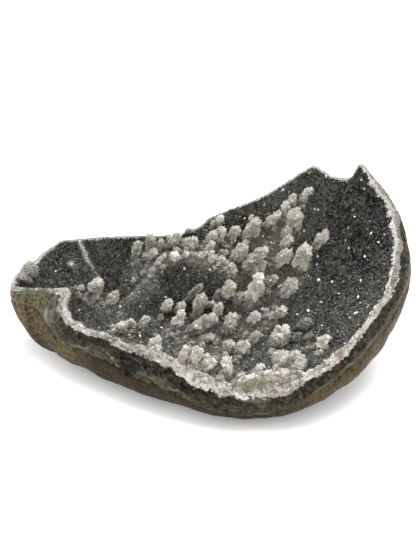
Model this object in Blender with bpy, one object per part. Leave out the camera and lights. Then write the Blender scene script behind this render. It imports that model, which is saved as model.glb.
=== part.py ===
"""A geode half: a basalt bowl with a brown rind, lined with one crust of dark quartz and pale crystal fingers.

The origin is the middle of the flat it rests on, +X to the right and +Y away from the viewer, +Z up.
Sizes are in millimetres until a mesh is made, and MM turns them to metres there.
"""

import math

import bmesh
import bpy
import numpy as np

MM = 0.001

# The rim, station by station from the left tip round the front, the right and the back.
# Each has the inner edge of the ground face, its outer edge, where the rind begins, and the width of the white
# quartz in it.
RIM = [
    ((-167, 22, 61), (-171, 24, 50), 4),
    ((-162, 17, 62), (-167, 12, 53), 3),
    ((-150, 10, 66), (-155, 2, 57), 3),
    ((-133, 5, 70), (-147, -1, 56), 4),
    ((-118, 1, 73), (-142, -4, 53), 9),
    ((-123, -4, 62), (-137, -9, 46), 9),
    ((-119, -10, 54), (-128, -18, 39), 7),
    ((-107, -19, 52), (-118, -25, 37), 7),
    ((-91, -27, 52), (-101, -34, 36), 6),
    ((-72, -37, 51), (-82, -44, 34), 6),
    ((-54, -42, 49), (-63, -55, 31), 7),
    ((-35, -49, 45), (-42, -64, 28), 9),
    ((-17, -56, 40), (-22, -72, 22), 10),
    ((-5, -61, 37), (-8, -76, 18), 10),
    ((6, -65, 34), (6, -78, 16), 9),
    ((16, -66, 34), (19, -79, 15), 8),
    ((30, -65, 36), (34, -79, 17), 7),
    ((46, -65, 39), (49, -78, 21), 7),
    ((59, -64, 43), (64, -74, 29), 6),
    ((71, -60, 47), (78, -68, 36), 6),
    ((83, -54, 53), (90, -60, 42), 6),
    ((91, -49, 57), (100, -54, 46), 6),
    ((98, -43, 61), (108, -47, 51), 5),
    ((107, -35, 68), (118, -37, 57), 5),
    ((113, -28, 74), (125, -30, 62), 6),
    ((119, -22, 80), (132, -21, 68), 7),
    ((124, -17, 85), (138, -14, 75), 7),
    ((128, -9, 91), (143, -5, 82), 7),
    ((131, 1, 98), (146, 4, 89), 7),
    ((133, 10, 103), (146, 13, 97), 7),
    ((135, 18, 107), (145, 21, 102), 6),
    ((134, 27, 113), (144, 30, 107), 5),
    ((132, 36, 119), (141, 40, 113), 5),
    ((128, 45, 126), (136, 51, 119), 5),
    ((122, 51, 132), (130, 58, 126), 5),
    ((116, 59, 139), (122, 66, 132), 5),
    ((109, 65, 146), (113, 72, 138), 4),
    ((106, 65, 141), (109, 73, 133), 4),
    ((105, 66, 135), (107, 74, 127), 4),
    ((101, 66, 132), (103, 75, 125), 4),
    ((96, 66, 132), (99, 75, 124), 4),
    ((88, 69, 132), (91, 78, 124), 4),
    ((82, 73, 134), (85, 81, 126), 4),
    ((74, 78, 136), (76, 87, 128), 4),
    ((66, 79, 130), (68, 88, 122), 4),
    ((53, 79, 120), (54, 88, 112), 4),
    ((39, 77, 111), (40, 86, 103), 4),
    ((26, 76, 104), (26, 85, 96), 4),
    ((6, 76, 95), (5, 85, 87), 4),
    ((-9, 74, 88), (-11, 83, 80), 5),
    ((-16, 69, 84), (-19, 78, 76), 5),
    ((-31, 64, 80), (-33, 73, 72), 5),
    ((-49, 62, 79), (-51, 71, 71), 5),
    ((-66, 62, 79), (-68, 71, 71), 4),
    ((-93, 62, 78), (-95, 71, 70), 4),
    ((-112, 63, 76), (-114, 71, 68), 4),
    ((-131, 64, 73), (-134, 71, 65), 4),
    ((-139, 58, 70), (-143, 65, 62), 4),
    ((-146, 54, 67), (-151, 60, 59), 4),
    ((-152, 47, 64), (-158, 52, 56), 4),
    ((-157, 45, 66), (-162, 49, 56), 5),
    ((-163, 34, 63), (-168, 37, 53), 5),
]

FLOOR_Z = 25.0  # lowest of the hollow
WALL_POWER = 2.4  # the hollow rises from its middle to the rim as this power of the share of the way
MOST_TURN = 9.0  # degrees between stations as seen from the middle
MOST_STEP = 14.0  # between stations along the rim
RIM_EVEN = 3  # stations each side that the hollow's own radius and height are averaged over
NOTCHES_FROM = 0.6  # share of the way to the rim where its notches begin to show in the radius
STEPS_FROM = 0.75  # the same for its steps in height, and for the crust's underside on its way to the ground face
CRUST = 6.0  # quartz under the druse
GAP = 0.35  # between the crust and the rock

# The ridge in the back left of the hollow, from its left foot to its right foot: its crest.
RIDGE = [
    (-94, 24, 22),
    (-78, 27, 37),
    (-67, 31, 48),
    (-56, 37, 60),
    (-46, 45, 70),
    (-29, 47, 72),
    (-8, 44, 67),
    (13, 44, 54),
    (30, 46, 25),
]
RIDGE_FRONT = 1.9  # slope of its front
RIDGE_BACK = 0.8  # slope of its back
RIDGE_ROUND = 5.0  # how far its crest is rounded
RIDGE_BLEND = 6.0  # how softly it meets the wall
RIDGE_REACH = 3.0 * RIDGE_BLEND  # how far under the wall it stops having an effect

FOOT = (38.0, 28.0)  # half sizes of the flat it rests on

# The rind by bearing, in degrees: how far it swells outwards below the ground face, how far it drops there as a
# share of its height, and how far out it is when it nears the floor as a share of the way from the flat.
SKIN = [
    (0, 4.0, 0.62, 0.72),
    (20, 2.0, 0.6, 0.72),
    (60, 3.0, 0.6, 0.72),
    (120, 4.0, 0.6, 0.75),
    (160, 3.0, 0.75, 0.85),
    (173, 2.0, 0.85, 0.92),
    (186, 5.0, 0.85, 0.9),
    (200, 4.0, 0.65, 0.8),
    (230, 2.0, 0.5, 0.72),
    (275, 1.0, 0.35, 0.7),
    (300, 2.0, 0.5, 0.72),
    (320, 6.0, 0.6, 0.72),
    (345, 9.0, 0.62, 0.72),
    (360, 4.0, 0.62, 0.72),
]

# The pale fingers: where each stands (x, y), its length, its width and how far it leans to the right, in degrees.
FINGERS = [
    # on the left floor
    *[(-105, 33, 15, 10, 25), (-106, 28, 7, 4, 75), (-118, 34, 7, 4, 80), (-93, 27, 13, 9, 60)],
    *[(-83, -14, 11, 6, 40), (-76, -4, 9, 5, 45), (-65, -2, 14, 6, 35)],
    # in the middle of the hollow
    *[(-47, 22, 12, 7, 25), (-35, 22, 10, 7, 20), (-39, 3, 19, 8, 30), (-46, -13, 11, 6, 65)],
    *[(-28, -1, 30, 10, 60), (-21, 17, 27, 9, 20), (-13, 24, 11, 5, 40), (-8, 9, 24, 7, 25)],
    *[(2, -1, 22, 9, 25), (0, 29, 21, 10, 30), (-4, 27, 14, 5, 10), (13, 30, 11, 7, 35)],
    *[(-18, -7, 14, 6, 80), (1, -21, 13, 9, 45), (12, -24, 13, 9, 45), (23, -11, 13, 8, 40)],
    # just inside the front rim
    *[(-54, -37, 11, 8, 50), (-29, -50, 13, 7, 5), (-20, -54, 17, 7, 10), (-14, -46, 11, 7, 20)],
    *[(-25, -51, 15, 7, 25), (-15, -54, 13, 7, 45), (3, -57, 17, 9, 15), (11, -60, 9, 5, 55)],
    *[(24, -52, 10, 6, 55), (54, -56, 15, 9, 45), (48, -40, 17, 11, 75)],
    # on the right floor
    *[(43, -18, 19, 12, 30), (56, -17, 10, 6, 45), (65, -19, 8, 5, 75), (73, -36, 13, 8, 45)],
    *[(63, -34, 14, 6, 80), (61, -4, 18, 9, 75), (43, 14, 15, 7, 45), (35, 16, 10, 4, 70)],
    *[(23, 11, 13, 8, 40), (21, 25, 34, 11, 30), (36, 38, 16, 7, 40), (49, 30, 20, 11, 35)],
    # on the back wall, from the right downwards and to the left
    *[(65, 69, 27, 6, 20), (57, 71, 25, 5, 15), (51, 67, 20, 7, 20), (56, 62, 23, 10, 25)],
    *[(51, 60, 14, 7, 30), (50, 55, 17, 7, 35), (44, 48, 21, 9, 50), (63, 40, 28, 12, 20)],
    *[(74, 47, 25, 7, 30), (35, 66, 23, 6, 35), (21, 63, 24, 8, 10), (26, 63, 20, 7, 25)],
    *[(7, 65, 17, 7, 35), (-3, 64, 18, 7, 20), (-3, 71, 12, 5, 30), (-14, 61, 19, 7, 30)],
    *[(7, 51, 28, 12, 35), (18, 48, 34, 10, 20), (25, 46, 21, 7, 35), (-2, 56, 11, 7, 35)],
    # behind the ridge
    *[(-12, 52, 15, 7, 25), (-25, 53, 13, 7, 25), (-32, 57, 14, 6, 40), (-43, 58, 18, 7, 30)],
    *[(-53, 56, 12, 6, 40), (-58, 57, 16, 7, 20), (-64, 53, 17, 7, 45), (-71, 53, 22, 6, 20)],
    # along the crest of the ridge
    *[(9, 40, 14, 7, 15), (1, 42, 15, 6, 15), (-9, 40, 14, 7, 45), (-8, 43, 14, 6, 15)],
    *[(-20, 42, 11, 6, 20), (-30, 43, 11, 6, 20), (-39, 41, 15, 7, 15), (-47, 41, 14, 7, 15)],
    *[(-55, 37, 14, 6, 25)],
    # the knob on the rim at the left
    *[(-156, 31, 20, 9, 15), (-160, 34, 13, 6, 25)],
]
FINGER_TILT = 0.33  # share of the lining's normal in the way a finger points
FINGER_DEPTH = 2.0  # how far its foot is sunk in the crust
FINGER_SECTIONS = ((0.0, 0.42), (0.48, 0.52), (0.88, 0.36))  # share of the length, then of the width
FINGER_UNEVEN = (0.86, 1.12)  # least and most that a corner of a section is pushed in or out
SIX_SIDED = 9.0  # width from which a finger has six sides, where the others have five

TOP_RINGS = (0.16, 0.31, 0.45, 0.57, 0.68, 0.78, 0.87, 0.94)
UNDER_RINGS = (0.31, 0.57, 0.78, 0.9)
SKIN_RINGS = (0.16, 0.32, 0.48, 0.64, 0.82)


def ease(value, low, high):
    """A smooth step from 0 at low to 1 at high."""
    share = np.clip((np.asarray(value, float) - low) / (high - low), 0.0, 1.0)
    return share * share * (3.0 - 2.0 * share)


def unit(vectors):
    return vectors / np.linalg.norm(vectors, axis=-1, keepdims=True)


def stations():
    """The rim's inner edge, outer edge and quartz width, with stations added where they are far apart as seen from
    the middle."""
    rows = [np.array([*inner, *outer, width], float) for inner, outer, width in RIM]
    full = []
    for row, after in zip(rows, rows[1:] + rows[:1]):
        turn = np.arctan2(after[1], after[0]) - np.arctan2(row[1], row[0])
        turn = math.degrees(turn % (2.0 * math.pi))
        pieces = math.ceil(max(turn / MOST_TURN, math.dist(row[:2], after[:2]) / MOST_STEP))
        full += [row + (after - row) * k / pieces for k in range(pieces)]
    full = np.array(full)
    return full[:, :3], full[:, 3:6], full[:, 6]


INNER, OUTER, QUARTZ = stations()
COUNT = len(INNER)


def averaged(values):
    """Each station's value averaged with its neighbours'."""
    reach = range(-RIM_EVEN, RIM_EVEN + 1)
    return sum(np.roll(values, step, axis=0) for step in reach) / len(reach)


BEARING = np.unwrap(np.arctan2(INNER[:, 1], INNER[:, 0]))
EDGE_R, EDGE_Z = np.hypot(INNER[:, 0], INNER[:, 1]), INNER[:, 2]
EVEN_R, EVEN_Z = averaged(EDGE_R), averaged(EDGE_Z)


def radius_at(rho, edge_r, even_r):
    """Distance from the middle, rho being the share of the way to the rim, whose notches fade out inwards."""
    return rho * even_r + (edge_r - even_r) * ease(rho, NOTCHES_FROM, 1.0)


def wall_z(rho, edge_z, even_z):
    """Height of the plain hollow at the share rho of the way from the middle to the rim."""
    low = FLOOR_Z + (even_z - FLOOR_Z) * rho**WALL_POWER
    return low + (edge_z - even_z) * ease(rho, STEPS_FROM, 1.0)


def around(x, y, values):
    """The stations' values read at the bearing of x, y."""
    turn = 2.0 * math.pi
    bearing = np.mod(np.arctan2(y, x) - BEARING[0], turn) + BEARING[0]
    return np.interp(bearing, np.append(BEARING, BEARING[0] + turn), np.append(values, values[0]))


def rim_share(x, y):
    """How far x, y is on the way to the rim, as a share, found by halving."""
    radius = np.hypot(x, y)
    edge_r, even_r = around(x, y, EDGE_R), around(x, y, EVEN_R)
    low, high = np.zeros_like(radius), np.ones_like(radius)
    for _ in range(24):
        middle = 0.5 * (low + high)
        inside = radius_at(middle, edge_r, even_r) < radius
        low, high = np.where(inside, middle, low), np.where(inside, high, middle)
    return 0.5 * (low + high)


def ridge_z(x, y):
    """Height of the ridge's own slopes at x, y, by the distance to its crest line."""
    crest = np.array(RIDGE, float)
    point = np.stack([x, y], axis=-1)
    slope = np.where(y > np.interp(x, crest[:, 0], crest[:, 1]), RIDGE_BACK, RIDGE_FRONT)
    best, nearest = np.full(np.shape(x), -1e3), np.full(np.shape(x), np.inf)
    for start, end in zip(crest, crest[1:]):
        along = end[:2] - start[:2]
        share = np.clip((point - start[:2]) @ along / (along @ along), 0.0, 1.0)
        away = point - start[:2] - share[..., None] * along
        distance = np.hypot(away[..., 0], away[..., 1])
        drop = np.sqrt((slope * distance) ** 2 + RIDGE_ROUND**2) - RIDGE_ROUND
        height = start[2] + share * (end[2] - start[2]) - drop
        best = np.where(distance < nearest, height, best)
        nearest = np.minimum(nearest, distance)
    return best


def with_ridge(x, y, z):
    """The wall and the ridge, whichever is higher, with a soft joint."""
    other = ridge_z(x, y)
    both = 0.5 * (z + other + np.sqrt((z - other) ** 2 + RIDGE_BLEND**2))
    near = ease(RIDGE_REACH - (z - other), 0.0, RIDGE_REACH)
    return z + (both - z) * near


def lining_z(x, y):
    """Height of the lining at any x, y inside the rim."""
    x, y = np.asarray(x, float), np.asarray(y, float)
    rho = rim_share(x, y)
    return with_ridge(x, y, wall_z(rho, around(x, y, EDGE_Z), around(x, y, EVEN_Z)))


def lining_normal(x, y, step=2.0):
    """Unit normal of the lining, pointing into the hollow."""
    slope_x = (lining_z(x + step, y) - lining_z(x - step, y)) / (2.0 * step)
    slope_y = (lining_z(x, y + step) - lining_z(x, y - step)) / (2.0 * step)
    return unit(np.stack([-slope_x, -slope_y, np.ones_like(slope_x)], axis=-1))


def ring_at(rho):
    """The stations' points on the plain hollow at the share rho of the way to the rim."""
    radius = radius_at(rho, EDGE_R, EVEN_R)
    z = wall_z(rho, EDGE_Z, EVEN_Z)
    return np.stack([radius * np.cos(BEARING), radius * np.sin(BEARING), z], axis=-1)


def under_rings(gap):
    """The underside of the crust, or with a gap the rock that carries it, from the middle outwards.

    It is the plain hollow moved back along its normal, and on the ground face it comes out where the quartz ends.
    """
    edge = unit(OUTER - INNER) * QUARTZ[:, None]
    step = 0.005
    rings = []
    for rho in UNDER_RINGS:
        ring = ring_at(rho)
        outwards = ring_at(rho + step) - ring_at(rho - step)
        sideways = np.roll(ring, -1, axis=0) - np.roll(ring, 1, axis=0)
        back = -unit(averaged(unit(np.cross(outwards, sideways))))
        share = float(ease(rho, STEPS_FROM, 1.0))
        offset = (1.0 - share) * CRUST * back + share * edge
        rings.append(ring + offset + gap * back)
    rings.append(INNER + edge + gap * unit(edge))
    return rings


def top_rings():
    """The lining itself, from the middle outwards, ending on the rim."""
    rings = []
    for rho in TOP_RINGS:
        ring = ring_at(rho)
        ring[:, 2] = with_ridge(ring[:, 0], ring[:, 1], ring[:, 2])
        rings.append(ring)
    rings.append(INNER.copy())
    return rings


def skin_rings():
    """The rind from the ground face down and under to the flat."""
    turn = np.arctan2(OUTER[:, 1], OUTER[:, 0])
    bearing, *shape = np.array(SKIN).T
    swell, drop, spread = (np.interp(np.degrees(turn) % 360.0, bearing, row)[:, None] for row in shape)
    foot = np.stack([FOOT[0] * np.cos(turn), FOOT[1] * np.sin(turn), np.zeros(COUNT)], axis=-1)
    out = unit((OUTER - INNER) * [1.0, 1.0, 0.0])
    below = OUTER - drop * OUTER * [0.0, 0.0, 1.0] + swell * out
    tuck = foot + spread * (OUTER * [1.0, 1.0, 0.0] - foot)
    rings = [OUTER.copy()]
    for t in SKIN_RINGS:
        s = 1.0 - t
        rings.append(s**3 * OUTER + 3 * s * s * t * below + 3 * s * t * t * tuck + t**3 * foot)
    rings.append(foot)
    return rings


def closed_mesh(name, rings, first, last):
    """A closed mesh from a first point through rings of stations to a last point.

    Four-cornered gaps are split the same way on the crust's underside as on the rock, so that they nest.
    """
    bm = bmesh.new()
    widths = [np.hypot(ring[:, 0], ring[:, 1]).mean() for ring in rings]
    widening = [far > near for near, far in zip(widths, widths[1:])]
    rows = [[bm.verts.new(point * MM) for point in ring] for ring in rings]
    start = bm.verts.new(np.array(first) * MM)
    end = bm.verts.new(np.array(last) * MM)
    for k in range(COUNT):
        after = (k + 1) % COUNT
        bm.faces.new((start, rows[0][k], rows[0][after]))
        bm.faces.new((end, rows[-1][after], rows[-1][k]))
        for near, far, outwards in zip(rows, rows[1:], widening):
            if outwards:
                bm.faces.new((near[k], far[k], far[after]))
                bm.faces.new((near[k], far[after], near[after]))
            else:
                bm.faces.new((near[k], far[k], near[after]))
                bm.faces.new((far[k], far[after], near[after]))
    mesh = bpy.data.meshes.new(name)
    bm.to_mesh(mesh)
    bm.free()
    thing = bpy.data.objects.new(name, mesh)
    bpy.context.collection.objects.link(thing)
    return thing


def finger_points(x, y, length, width, lean, dice):
    """A finger's rings from its sunk foot upwards, and its tip."""
    normal = lining_normal(np.array(x, float), np.array(y, float))
    foot = np.array([x, y, float(lining_z(x, y))])
    turned = math.radians(lean)
    upward = np.array([math.sin(turned), 0.0, math.cos(turned)])
    axis = unit(FINGER_TILT * normal + upward)
    side = unit(np.cross(normal, axis))
    sides = 6 if width >= SIX_SIDED else 5
    rings = []
    for share, wide in FINGER_SECTIONS:
        facing = normal if share == 0.0 else axis
        middle = foot - FINGER_DEPTH * normal if share == 0.0 else foot + share * length * axis
        other = np.cross(facing, side)
        start = dice.uniform(0.0, 0.5)
        turns = start + 2.0 * math.pi * np.arange(sides) / sides
        reach = wide * width * dice.uniform(*FINGER_UNEVEN, sides)
        spread = np.cos(turns)[:, None] * side + np.sin(turns)[:, None] * other
        rings.append(middle + reach[:, None] * spread)
    return rings, foot + length * axis


def make_fingers():
    """All the fingers as one helper mesh of closed bodies."""
    dice = np.random.default_rng(7)
    bm = bmesh.new()
    for place in FINGERS:
        rings, tip = finger_points(*place, dice)
        rows = [[bm.verts.new(point * MM) for point in ring] for ring in rings]
        top = bm.verts.new(tip * MM)
        sides = len(rows[0])
        bm.faces.new(rows[0][::-1])
        for k in range(sides):
            after = (k + 1) % sides
            for low, high in zip(rows, rows[1:]):
                bm.faces.new((low[k], low[after], high[after]))
                bm.faces.new((low[k], high[after], high[k]))
            bm.faces.new((rows[-1][k], rows[-1][after], top))
    mesh = bpy.data.meshes.new("fingers")
    bm.to_mesh(mesh)
    bm.free()
    fingers = bpy.data.objects.new("fingers", mesh)
    bpy.context.collection.objects.link(fingers)
    return fingers


def fuse(thing, other):
    """Joins the other mesh into the thing and removes the other."""
    union = thing.modifiers.new("union", "BOOLEAN")
    union.operation = "UNION"
    union.solver = "EXACT"
    union.use_self = True
    union.object = other
    graph = bpy.context.evaluated_depsgraph_get()
    fused = bpy.data.meshes.new_from_object(thing.evaluated_get(graph))
    thing.modifiers.clear()
    thing.data = fused
    bpy.data.objects.remove(other, do_unlink=True)
    fill_pockets(fused)


def fill_pockets(mesh):
    """Keeps the largest shell only, so that a pocket sealed in between fingers becomes solid."""
    bm = bmesh.new()
    bm.from_mesh(mesh)
    shells, left = [], set(bm.verts)
    while left:
        shell, edge = set(), [left.pop()]
        while edge:
            vert = edge.pop()
            shell.add(vert)
            near = {link.other_vert(vert) for link in vert.link_edges} & left
            left -= near
            edge.extend(near)
        shells.append(shell)
    shells.sort(key=len)
    inner = [vert for shell in shells[:-1] for vert in shell]
    bmesh.ops.delete(bm, geom=inner, context="VERTS")
    bm.to_mesh(mesh)
    bm.free()


def material(name, colour, roughness):
    made = bpy.data.materials.new(name)
    made.use_nodes = True
    shader = made.node_tree.nodes["Principled BSDF"]
    shader.inputs["Base Color"].default_value = (*colour, 1.0)
    shader.inputs["Roughness"].default_value = roughness
    shader.inputs["Metallic"].default_value = 0.0
    return made


def make_crust():
    under = under_rings(0.0)
    rings = top_rings() + under[::-1]
    low = FLOOR_Z - CRUST
    crust = closed_mesh("crystal_crust", rings, (0.0, 0.0, FLOOR_Z), (0.0, 0.0, low))
    fuse(crust, make_fingers())
    crust.data.materials.clear()
    crust.data.materials.append(material("grey_quartz", (0.22, 0.21, 0.2), 0.35))
    return crust


def make_rock():
    inside = under_rings(GAP)
    rings = inside + skin_rings()
    low = FLOOR_Z - CRUST - GAP
    rock = closed_mesh("rock_shell", rings, (0.0, 0.0, low), (0.0, 0.0, 0.0))
    rock.data.materials.append(material("basalt_rind", (0.13, 0.1, 0.07), 0.6))
    return rock


def main():
    for thing in list(bpy.data.objects):
        bpy.data.objects.remove(thing, do_unlink=True)
    make_crust()
    make_rock()


main()
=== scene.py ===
"""The looks of a geode half: ground basalt rim, brown rind, white quartz band, dark druse, pale fingers.

Sizes are in millimetres until a mesh is made, and MM turns them to metres there. The origin is the middle of
the flat that the rock rests on, +X to the right, +Y away from the viewer and +Z up.
"""

import itertools
import math

import bmesh
import bpy
import numpy as np
from bpy.props import FloatProperty, FloatVectorProperty, IntProperty, PointerProperty
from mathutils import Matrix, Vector, geometry


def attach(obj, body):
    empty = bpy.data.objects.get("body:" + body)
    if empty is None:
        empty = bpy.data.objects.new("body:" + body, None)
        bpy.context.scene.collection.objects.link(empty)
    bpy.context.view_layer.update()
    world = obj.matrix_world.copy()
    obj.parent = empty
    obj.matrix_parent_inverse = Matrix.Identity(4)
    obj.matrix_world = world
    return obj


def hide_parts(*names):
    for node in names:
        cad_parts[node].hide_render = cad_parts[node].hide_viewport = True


bl_info = {
    "name": "Geode half",
    "version": (1, 0, 0),
    "blender": (4, 5, 0),
    "location": "View3D > Sidebar > Geode",
    "description": "Builds a basalt geode half with its druse, crystal fingers, quartz band and rind",
    "category": "Add Mesh",
}

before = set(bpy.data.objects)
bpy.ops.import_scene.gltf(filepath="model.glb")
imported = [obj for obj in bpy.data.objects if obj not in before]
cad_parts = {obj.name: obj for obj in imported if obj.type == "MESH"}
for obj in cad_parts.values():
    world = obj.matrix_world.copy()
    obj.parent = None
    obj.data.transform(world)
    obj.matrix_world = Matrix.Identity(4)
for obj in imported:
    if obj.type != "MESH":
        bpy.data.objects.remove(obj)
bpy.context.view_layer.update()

MM = 0.001
TURN = 2.0 * math.pi

# The rim, station by station from the left tip round the front, the right and the back.
# Each has the inner edge of the ground face, its outer edge, where the rind begins, and the width of the
# white quartz in it.
RIM = [
    ((-167, 22, 61), (-171, 24, 50), 4),
    ((-162, 17, 62), (-167, 12, 53), 3),
    ((-150, 10, 66), (-155, 2, 57), 3),
    ((-133, 5, 70), (-147, -1, 56), 4),
    ((-118, 1, 73), (-142, -4, 53), 9),
    ((-123, -4, 62), (-137, -9, 46), 9),
    ((-119, -10, 54), (-128, -18, 39), 7),
    ((-107, -19, 52), (-118, -25, 37), 7),
    ((-91, -27, 52), (-101, -34, 36), 6),
    ((-72, -37, 51), (-82, -44, 34), 6),
    ((-54, -42, 49), (-63, -55, 31), 7),
    ((-35, -49, 45), (-42, -64, 28), 9),
    ((-17, -56, 40), (-22, -72, 22), 10),
    ((-5, -61, 37), (-8, -76, 18), 10),
    ((6, -65, 34), (6, -78, 16), 9),
    ((16, -66, 34), (19, -79, 15), 8),
    ((30, -65, 36), (34, -79, 17), 7),
    ((46, -65, 39), (49, -78, 21), 7),
    ((59, -64, 43), (64, -74, 29), 6),
    ((71, -60, 47), (78, -68, 36), 6),
    ((83, -54, 53), (90, -60, 42), 6),
    ((91, -49, 57), (100, -54, 46), 6),
    ((98, -43, 61), (108, -47, 51), 5),
    ((107, -35, 68), (118, -37, 57), 5),
    ((113, -28, 74), (125, -30, 62), 6),
    ((119, -22, 80), (132, -21, 68), 7),
    ((124, -17, 85), (138, -14, 75), 7),
    ((128, -9, 91), (143, -5, 82), 7),
    ((131, 1, 98), (146, 4, 89), 7),
    ((133, 10, 103), (146, 13, 97), 7),
    ((135, 18, 107), (145, 21, 102), 6),
    ((134, 27, 113), (144, 30, 107), 5),
    ((132, 36, 119), (141, 40, 113), 5),
    ((128, 45, 126), (136, 51, 119), 5),
    ((122, 51, 132), (130, 58, 126), 5),
    ((116, 59, 139), (122, 66, 132), 5),
    ((109, 65, 146), (113, 72, 138), 4),
    ((106, 65, 141), (109, 73, 133), 4),
    ((105, 66, 135), (107, 74, 127), 4),
    ((101, 66, 132), (103, 75, 125), 4),
    ((96, 66, 132), (99, 75, 124), 4),
    ((88, 69, 132), (91, 78, 124), 4),
    ((82, 73, 134), (85, 81, 126), 4),
    ((74, 78, 136), (76, 87, 128), 4),
    ((66, 79, 130), (68, 88, 122), 4),
    ((53, 79, 120), (54, 88, 112), 4),
    ((39, 77, 111), (40, 86, 103), 4),
    ((26, 76, 104), (26, 85, 96), 4),
    ((6, 76, 95), (5, 85, 87), 4),
    ((-9, 74, 88), (-11, 83, 80), 5),
    ((-16, 69, 84), (-19, 78, 76), 5),
    ((-31, 64, 80), (-33, 73, 72), 5),
    ((-49, 62, 79), (-51, 71, 71), 5),
    ((-66, 62, 79), (-68, 71, 71), 4),
    ((-93, 62, 78), (-95, 71, 70), 4),
    ((-112, 63, 76), (-114, 71, 68), 4),
    ((-131, 64, 73), (-134, 71, 65), 4),
    ((-139, 58, 70), (-143, 65, 62), 4),
    ((-146, 54, 67), (-151, 60, 59), 4),
    ((-152, 47, 64), (-158, 52, 56), 4),
    ((-157, 45, 66), (-162, 49, 56), 5),
    ((-163, 34, 63), (-168, 37, 53), 5),
]

FLOOR_Z = 25.0  # lowest of the hollow
WALL_POWER = 2.4  # the hollow rises from its middle to the rim as this power of the share of the way
MOST_TURN = 9.0  # degrees between stations as seen from the middle
MOST_STEP = 14.0  # between stations along the rim
RIM_EVEN = 3  # stations each side that the hollow's own radius and height are averaged over
NOTCHES_FROM = 0.6  # share of the way to the rim where its notches begin to show in the radius
STEPS_FROM = 0.75  # the same for its steps in height
RIM_SPACING = 1.15  # between the fine stations
SLIGHTLY = 0.01  # a small share of the way, or a small turn, that a slope is measured over
MIDDLE = 1e-4  # the share of the way that stands for the middle, where a bearing still has a meaning
HALVINGS = 24  # steps in which a share of the way is found

# The ridge in the back left of the hollow, from its left foot to its right foot: its crest.
RIDGE = [
    (-94, 24, 22),
    (-78, 27, 37),
    (-67, 31, 48),
    (-56, 37, 60),
    (-46, 45, 70),
    (-29, 47, 72),
    (-8, 44, 67),
    (13, 44, 54),
    (30, 46, 25),
]
RIDGE_FRONT = 1.9  # slope of its front
RIDGE_BACK = 0.8  # slope of its back
RIDGE_ROUND = 5.0  # how far its crest is rounded
RIDGE_BLEND = 6.0  # how softly it meets the wall
RIDGE_REACH = 3.0 * RIDGE_BLEND  # how far under the wall it stops having an effect

FOOT = (38.0, 28.0)  # half sizes of the flat it rests on

# The rind by bearing, in degrees: how far it swells outwards below the ground face, how far it drops there
# as a share of its height, and how far out it is near the floor as a share of the way from the flat.
SKIN = [
    (0, 4.0, 0.62, 0.72),
    (20, 2.0, 0.6, 0.72),
    (60, 3.0, 0.6, 0.72),
    (120, 4.0, 0.6, 0.75),
    (160, 3.0, 0.75, 0.85),
    (173, -9.0, 0.58, 0.86),
    (179, 2.9, 1.0, 0.92),
    (186, 3.6, 0.8, 0.92),
    (193, 1.5, 0.75, 0.79),
    (200, 7.5, 0.76, 0.85),
    (215, 7.0, 0.67, 0.76),
    (230, 3.5, 0.7, 0.74),
    (250, 1.9, 0.49, 0.72),
    (275, 1.0, 0.35, 0.7),
    (300, 2.0, 0.5, 0.72),
    (320, 6.0, 0.6, 0.72),
    (345, 9.0, 0.62, 0.72),
    (360, 4.0, 0.62, 0.72),
]

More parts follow.
